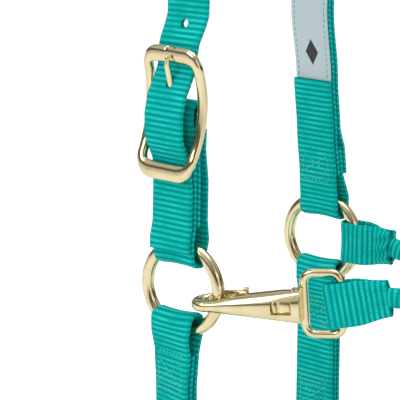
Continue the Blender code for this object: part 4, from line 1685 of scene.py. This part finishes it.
@dataclass
class ThroatStrap(SubAssembly):
    """The throat strap: a flat folded tab at each end and the rolled length between them."""

    snap: SnapPlace = field(default_factory=SnapPlace)
    tab_width: float = 22 * MM
    near_bar: float = 64.9 * MM
    near_hold: float = 3.7 * MM
    near_end: float = 88.9 * MM
    far_fold: float = 14.0 * MM
    far_end: float = 45.0 * MM
    radius: float = 5.2 * MM
    throat_reach: float = 168 * MM
    throat_drop: float = 38 * MM
    tucked: float = 11 * MM
    slack: float = 3.6 * MM
    rise: float = math.radians(7)

    def tilt(self) -> Matrix:
        """Turns the near tab about the eye's bar, so that it rises to the roll."""
        pivot = Matrix.Translation((self.near_bar, 0, 0))
        return pivot @ Matrix.Rotation(-self.rise, 4, "Y") @ pivot.inverted()

    def tab(self, name: str, node: str, place: Matrix, bar: float, hold: float, fold: float, end: float,
            swell: Plane, narrowing: float, pucker: float, hugs: tuple[Hug, ...] = ()) -> None:
        """Makes one tab, whose plies part round the end of the roll.

        Args:
            name: The piece's name.
            node: The CAD node that it stands for.
            place: The tab's own place.
            bar: Where the bar that it is folded round lies along it.
            hold: How far its plies lie from the bar's middle.
            fold: Where its fold lies.
            end: Where its cut ends lie.
            swell: How far its outer and its inner ply stand off the roll.
            narrowing: The share of its width that is gathered up at its end.
            pucker: The height of the gathers.
            hugs: Its sag into a curved wire.
        """
        spread = self.fit.ply / 2
        corners = [(end, -spread), (bar + 14 * MM, -spread), (bar + 5 * MM, -hold), (fold, -hold),
                   (fold, hold), (bar + 5 * MM, hold), (bar + 14 * MM, spread), (end, spread)]
        route = Route(rounded(corners, hold))

        def puff(along: float, across: float) -> float:
            """Gives how far the ply stands out at a place."""
            outer = along < route.length / 2
            left = along if outer else route.length - along
            near = smooth_step(1 - left / (14 * MM))
            crown = max(0.0, 1 - (across / (8.5 * MM)) ** 2)
            folds = pucker * math.sin(across * 900 + left * 260) * smooth_step(1 - left / (15 * MM))
            return swell[0 if outer else 1] * near * crown + folds

        def narrow(along: float) -> float:
            """Gives the share of the width that is left at a place."""
            left = min(along, route.length - along)
            return 1 - narrowing * smooth_step(1 - left / (17 * MM))

        self.strap(name, "lower", node, place, route, width=self.tab_width, puff=puff, narrow=narrow,
                   hugs=hugs, columns=28)

    def roll(self) -> None:
        """Makes the rolled length: webbing turned in on itself, its lap running along it."""
        fit, near = self.fit, self.snap.matrix(self.fit) @ self.tilt()
        axis = near.to_3x3() @ Vector((1, 0, 0))
        far = Matrix.Translation((0, fit.half_span, fit.ring_z))
        start = near @ Vector((self.near_end + 1.6 * MM, 0, 0))
        finish = far @ Vector((self.far_end + 1.6 * MM, 0, 0))
        middle = Vector((self.throat_reach, 0, fit.ring_z - self.throat_drop))
        near_pull, near_swing = axis * 34 * MM - Vector((0, 0, 6 * MM)), Vector((0, 32 * MM, 0))
        far_pull, far_swing = Vector((55 * MM, 4 * MM, -14 * MM)), Vector((0, 50 * MM, 0))
        knots = [(start, start + near_pull, middle - near_swing, middle),
                 (middle, middle + far_swing, finish + far_pull, finish)]
        points = [start - axis * self.tucked]
        for a, b, c, d in knots:
            for i in range(40):
                s = i / 40
                r = 1 - s
                points.append(a * r ** 3 + b * 3 * s * r ** 2 + c * 3 * s * s * r + d * s ** 3)
        points += [finish, finish - Vector((self.tucked, 0, 0))]
        route = Route(points)
        along = round(route.length / (0.5 * MM))
        frames = []
        up = Vector((0, 0, 1))
        for i in range(along + 1):
            point, head = route.at(route.length * i / along)
            up = (up - head * up.dot(head)).normalized()
            frames.append((point, head.cross(up), up.copy()))
        pitch = WebbingFinish().rib_pitch

        def shape(share: float, turn: float) -> Vector:
            """Gives a point of the roll."""
            distance = share * route.length
            point, side, rise = frames[round(share * along)]
            left = min(distance, route.length - distance)
            flat = 0.42 + 0.58 * smooth_step(left / (16 * MM))
            cap = math.sqrt(max(0.0, min(1.0, left / (1.5 * MM))))
            spiral = 0.93 + 0.11 * ((turn / (2 * math.pi) + 0.25) % 1)
            rib = abs(math.sin(math.pi * distance / pitch)) ** 0.8 * 0.30 * MM
            creases = 0.25 * MM * math.sin(2 * turn + distance * 60)
            creases += 0.15 * MM * math.sin(5 * turn - distance * 95)
            radius = (self.radius * spiral - 0.1 * MM + rib + creases) * cap
            return point + side * (math.cos(turn) * radius * flat) + rise * (math.sin(turn) * radius)

        cloth = (2 * math.pi * self.radius, route.length)
        piece = open_form("throat_roll_woven", along, 36, shape, weave=cloth)
        self.keep(piece, "lower", "webbing", self.finishes.webbing, "throat_roll")

    def build(self) -> None:
        """Makes the throat strap."""
        fit, near = self.fit, self.snap.matrix(self.fit) @ self.tilt()
        self.tab("near_tab_woven", "throat_near_tab", near, self.near_bar, self.near_hold,
                 self.near_bar - self.near_hold - self.slack, self.near_end,
                 (0.9 * MM, 4.4 * MM), 0.20, 0.35 * MM)
        far = Matrix.Translation((0, fit.half_span, fit.ring_z))
        hug = Hug((0.0, 0.0), (1.0, 0.0), fit.ring_mean - fit.ring_wire / 2, self.far_fold)
        self.tab("far_tab_woven", "throat_far_tab", far, fit.ring_mean, fit.ring_hold, self.far_fold,
                 self.far_end, (3.4 * MM, 3.6 * MM), 0.16, 1.3 * MM, (hug,))
        self.roll()
        seam = Stitching("throat_stitching", "lower", self.finishes.thread)
        half = fit.thick / 2
        for place, start in ((near, self.near_bar + 14 * MM), (far, fit.ring_mean + 11 * MM)):
            turn = place.to_3x3()
            for face in (-1, 1):
                y = face * (fit.ply / 2 + half)
                for x in (start, start + 3 * MM):
                    seam.row(place @ Vector((x, y, -8.5 * MM)), place @ Vector((x, y, 8.5 * MM)),
                             turn @ Vector((0, face, 0)))
        self.pieces.append(seam.sew())


# ---------------------------------------------------------------- snap


def octagon(turn: float, chamfer: float = 0.73, crispness: float = 16.0) -> Plane:
    """Gives a point of a unit section with flat sides and cut corners, its edges slightly soft.

    Args:
        turn: The angle about the section.
        chamfer: How deep the corners are cut.
        crispness: How sharp the edges are.

    Returns:
        The point.
    """
    c, s = math.cos(turn), math.sin(turn)
    sides = (abs(c), abs(s), chamfer * (abs(c) + abs(s)))
    reach = sum(side ** crispness for side in sides) ** (-1 / crispness)
    return c * reach, s * reach


@dataclass
class Snap(SubAssembly):
    """The bolt snap: tapered spine and hook, body with its window, square eye, and the sprung bolt."""

    place: SnapPlace = field(default_factory=SnapPlace)
    line: float = 7.1 * MM
    hook_radius: float = 3.0 * MM
    hook_centre: float = -2.0 * MM
    body_start: float = 10.0 * MM
    body_end: float = 44.8 * MM
    rear_height: float = 16.5 * MM
    eye_wire: float = 4.2 * MM
    eye_near: float = 46.0 * MM
    eye_far: float = 64.9 * MM
    eye_half: float = 15.65 * MM
    bolt_radius: float = 2.2 * MM
    bolt_tip: float = 0.2 * MM
    bolt_length: float = 22.0 * MM
    channel_end: float = 41.0 * MM
    channel_room: float = 0.3 * MM
    slot_size: tuple[float, float, float] = (20 * MM, 3.2 * MM, 12 * MM)
    slot_middle: float = 7.2 * MM
    window_size: tuple[float, float, float] = (10.5 * MM, 5.2 * MM, 6.6 * MM)
    window_back: float = 8.6 * MM
    lever: tuple[float, float, float, float] = (8.6 * MM, 3.0 * MM, 14.0 * MM, 3.2 * MM)
    tab: tuple[float, float, float, float] = (14.6 * MM, 3.6 * MM, 2.6 * MM, 5.2 * MM)
    tab_thick: float = 2.5 * MM

    def half_height(self, x: float) -> float:
        """Gives half the height of the spine and body at a place along them."""
        share = (x - self.hook_centre) / (self.body_end - self.hook_centre)
        return self.hook_radius + (self.rear_height / 2 - self.hook_radius) * max(0.0, share) ** 1.08

    def hook(self, matrix: Matrix) -> bpy.types.Object:
        """Bends the hook from the spine round to the tip of the bolt.

        Args:
            matrix: The snap's place.

        Returns:
            The hook.
        """
        centre, line = self.hook_centre, self.line
        points = [Vector((12 * MM, -line))]
        points += [Vector((centre - line * math.sin(math.pi * i / 36), -line * math.cos(math.pi * i / 36)))
                   for i in range(37)]
        route = Route(points + [Vector((centre + 1.6 * MM, line))])

        def shape(share: float, turn: float) -> Vector:
            """Gives a point of the hook."""
            point, head = route.at(share * route.length)
            radius = 0.0 if share in (0.0, 1.0) else self.hook_radius * 0.985
            side = Vector((-head.y, head.x)) * (math.cos(turn) * radius)
            return matrix @ Vector((point.x + side.x, point.y + side.y, math.sin(turn) * radius))

        return open_form("hook", 90, 28, shape)

    def section(self, matrix: Matrix, x: float, middle: float, depth: float, height: float,
                turn: float) -> Vector:
        """Gives a point of a cut-cornered section.

        Args:
            matrix: The snap's place.
            x: Where the section lies along the snap.
            middle: Its middle, towards the head.
            depth: Half its depth.
            height: Half its height.
            turn: The angle about it.

        Returns:
            The point.
        """
        y, z = octagon(turn)
        return matrix @ Vector((x, middle + y * depth, z * height))

    def body(self, matrix: Matrix) -> None:
        """Makes the body from its spine, barrel, hook and eye, with its window, channel and thumb slot.

        Args:
            matrix: The snap's place.
        """
        radius, line = self.hook_radius, self.line
        first, last = self.hook_centre - 1.5 * MM, self.body_end + 0.5 * MM

        def spine(share: float, turn: float) -> Vector:
            """Gives a point of the tapered spine."""
            x = first + (last - first) * min(1.0, max(0.0, share * 1.04 - 0.02))
            cap = 0.0 if share in (0.0, 1.0) else 1.0
            depth = (radius + 0.7 * MM * smooth_step(share * 1.3)) * cap
            return self.section(matrix, x, -line, depth, self.half_height(x) * cap, turn)

        def barrel(share: float, turn: float) -> Vector:
            """Gives a point of the body behind the spine."""
            x = self.body_start + (last - self.body_start) * min(1.0, max(0.0, share * 1.04 - 0.02))
            cap = 0.0 if share in (0.0, 1.0) else 1.0
            depth = (line + radius) * cap
            height = min(self.half_height(x) - 0.6 * MM, 6.4 * MM) * cap
            return self.section(matrix, x, 0.6 * MM, depth - 0.6 * MM, height, turn)

        def collar(share: float, turn: float) -> Vector:
            """Gives a point of the grooved collar in front of the eye."""
            x = self.body_end - 5.2 * MM + 5.9 * MM * min(1.0, max(0.0, share * 1.1 - 0.05))
            cap = 0.0 if share in (0.0, 1.0) else 1.0
            groove = 0.45 * MM * abs(math.sin(share * math.pi * 3))
            return self.section(matrix, x, -0.2 * MM, (line + radius - MM + groove) * cap,
                                (self.half_height(x) - 0.35 * MM + groove) * cap, turn)

        body = open_form("snap_body_cast", 60, 48, spine, 28.0)
        unite(body, open_form("barrel", 30, 40, barrel, 28.0))
        unite(body, self.hook(matrix))
        unite(body, open_form("collar", 30, 40, collar, 28.0))
        half_x, mid_x = (self.eye_far - self.eye_near) / 2, (self.eye_far + self.eye_near) / 2
        tall = self.eye_half
        corners = [(half_x, 0.0), (half_x, tall), (-half_x, tall), (-half_x, -tall), (half_x, -tall)]
        route = Route(rounded(corners, 5.0 * MM, closed=True), closed=True)

        def eye(turn: float, about: float) -> Vector:
            """Gives a point of the square eye."""
            point, head = route.at(turn / (2 * math.pi) % 1 * route.length)
            point = point + Vector((head.y, -head.x)) * (math.cos(about) * self.eye_wire / 2)
            return matrix @ Vector((mid_x + point.x, math.sin(about) * self.eye_wire / 2, point.y))

        unite(body, closed_form("eye", 160, 24, eye))
        low = matrix @ Vector((self.body_start - 4 * MM, line, 0))
        high = matrix @ Vector((self.channel_end, line, 0))
        subtract(body, rod("channel", low, high, self.bolt_radius + self.channel_room))
        slot = matrix @ Matrix.Translation((self.body_start + self.slot_middle, line, 6.5 * MM))
        subtract(body, block("slot", Vector(self.slot_size), slot, 1.2 * MM))
        window = matrix @ Matrix.Translation((self.body_end - self.window_back, -line - radius, 0))
        subtract(body, block("window", Vector(self.window_size), window, 0.5 * MM, 2))
        for x, wide, deep in ((-7.2 * MM, 5.4 * MM, 2.4 * MM), (-11.9 * MM, 1.6 * MM, 1.4 * MM)):
            plug = matrix @ Matrix.Translation((self.body_end + x, -line - radius + deep, 0))
            unite(body, block("plug", Vector((wide, 2.6 * MM, 5.0 * MM)), plug, 0.5 * MM, 2))
        clean(body, 28.0)
        self.keep(body, "lower", "hardware", self.finishes.brass, "snap_body")

    def bolt(self, matrix: Matrix) -> None:
        """Makes the bolt with its round tip, thumb lever and tab.

        Args:
            matrix: The snap's place.
        """
        def pin(share: float, turn: float) -> Vector:
            """Gives a point of the pin."""
            left = min(share, 1 - share) * self.bolt_length
            radius = self.bolt_radius * math.sqrt(min(1.0, left / (0.9 * MM)))
            x = self.bolt_tip + share * self.bolt_length
            return matrix @ Vector((x, self.line + radius * math.cos(turn), radius * math.sin(turn)))

        bolt = open_form("snap_bolt_pin", 48, 28, pin)
        for x, z, long, tall in (self.lever, self.tab):
            place = matrix @ Matrix.Translation((x, self.line, z))
            unite(bolt, block("thumb", Vector((long, self.tab_thick, tall)), place, 0.8 * MM, 4))
        clean(bolt, 40.0)
        self.keep(bolt, "bolt", "hardware", self.finishes.brass, "snap_bolt")

    def build(self, nodes: dict[str, bpy.types.Object]) -> None:
        """Makes the snap, and dresses the spring and plug inside it.

        Args:
            nodes: The CAD nodes.
        """
        matrix = self.place.matrix(self.fit)
        self.body(matrix)
        self.bolt(matrix)
        dress(nodes["snap_spring"], self.finishes.steel)
        dress(nodes["snap_plug"], self.finishes.brass)
        LOG.info("spring and plug dressed")


# ---------------------------------------------------------------- studio


class Surroundings(Shading):
    """The world's nodes: even white, with a few dim strips that only polished metal shows."""

    def __init__(self) -> None:
        """Starts the world."""
        world = bpy.data.worlds.new("studio")
        bpy.context.scene.world = world
        world.use_nodes = True
        self.tree = world.node_tree
        self.shader = self.tree.nodes["Background"]

    def build(self, level: float) -> None:
        """Paints the strips by direction.

        Args:
            level: The brightness of the white.
        """
        way = self.node("ShaderNodeTexCoord")
        parts = {"Vector": way}
        x = self.node("ShaderNodeSeparateXYZ", None, parts, "X")
        y = self.node("ShaderNodeSeparateXYZ", None, parts, "Y")
        z = self.node("ShaderNodeSeparateXYZ", None, parts, "Z")
        low_strip = z.ramp(0.0, 0.07) * (1 - z.ramp(0.26, 0.40))
        turn = self.node("ShaderNodeMath", {"operation": "ARCTAN2"}, {0: y, 1: x})
        posts = abs((turn * 2.5 + 0.55).sine()).ramp(0.86, 0.97) * (1 - z.ramp(0.60, 0.85))
        dim = (low_strip * 0.80 + posts * 0.92).at_most(0.94)
        strips = self.mix(dim, (0.78, 0.78, 0.78, 1.0), (0.050, 0.032, 0.018, 1.0))
        glossy = self.node("ShaderNodeLightPath", None, None, "Is Glossy Ray")
        self.feed("Color", self.mix(glossy, (1.0, 1.0, 1.0, 1.0), strips))
        self.shader.inputs["Strength"].default_value = level


@dataclass
class Studio:
    """Pale floor, soft lights and the camera."""

    fit: Fit
    floor_drop: float = 12 * MM
    azimuth: float = math.radians(36)
    elevation: float = math.radians(12.945)
    distance: float = 1.0
    shift_right: float = -30.14 * MM
    shift_up: float = 32.34 * MM
    lens: float = 168.63
    world_level: float = 0.80
    lamps: tuple[tuple[str, tuple[float, float, float], float, float], ...] = (
        ("key", (-0.55, -1.25, 0.75), 0.9, 9.0),
        ("top", (0.10, 0.10, 1.05), 1.1, 8.0),
        ("fill", (1.40, -0.55, 0.10), 0.9, 2.0))

    def floor(self) -> None:
        """Lays the floor under the halter."""
        deselect()
        bpy.ops.mesh.primitive_plane_add(size=30, location=(0, 0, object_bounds()[0][2] - self.floor_drop))
        plane = settle(bpy.context.object)
        plane.name = "floor"
        dress(plane, FloorFinish().make())
        plane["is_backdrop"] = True

    def light(self, name: str, place: Vector, target: Vector, size: float, watts: float) -> None:
        """Hangs one soft square light.

        Args:
            name: Its name.
            place: Where it hangs.
            target: What it points at.
            size: Its side.
            watts: Its power.
        """
        deselect()
        bpy.ops.object.light_add(type="AREA", location=place)
        lamp = bpy.context.object
        lamp.name = name
        lamp.data.size = size
        lamp.data.energy = watts
        lamp.rotation_euler = (target - place).to_track_quat("-Z", "Y").to_euler()

    def camera(self) -> None:
        """Sets the camera to the halter's three-quarter view from its near front."""
        back = Vector((math.sin(self.azimuth) * math.cos(self.elevation),
                       -math.cos(self.azimuth) * math.cos(self.elevation), math.sin(self.elevation)))
        right = Vector((math.cos(self.azimuth), math.sin(self.azimuth), 0))
        up = back.cross(right)
        target = Vector((0, 0, self.fit.ring_z)) + right * self.shift_right + up * self.shift_up
        place = target + back * self.distance
        deselect()
        bpy.ops.object.camera_add(location=place)
        camera = bpy.context.object
        camera.rotation_euler = Matrix((right, up, back)).transposed().to_euler()
        camera.data.lens = self.lens
        camera.data.sensor_width = 36
        camera.data.clip_start, camera.data.clip_end = 0.01, 60
        bpy.context.scene.camera = camera

    def build(self) -> None:
        """Sets the stage."""
        self.floor()
        middle = Vector((0, 0, self.fit.ring_z))
        for name, place, size, watts in self.lamps:
            self.light(name, Vector(place), middle, size, watts)
        Surroundings().build(self.world_level)
        bpy.context.scene.view_settings.view_transform = "Standard"
        self.camera()


def main() -> None:
    """Builds the halter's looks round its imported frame."""
    logging.basicConfig(level=logging.INFO, format="%(name)s: %(message)s", stream=sys.stdout)
    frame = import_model()
    fit = Fit.from_frame()
    finishes = Finishes()
    Crown(fit, finishes).build()
    Buckle(fit, finishes).build()
    Rings(fit, finishes).build()
    LowerHalf(fit, finishes).build()
    ThroatStrap(fit, finishes).build()
    Snap(fit, finishes).build(frame["nodes"])
    Studio(fit).build()


if __name__ == "__main__":
    main()
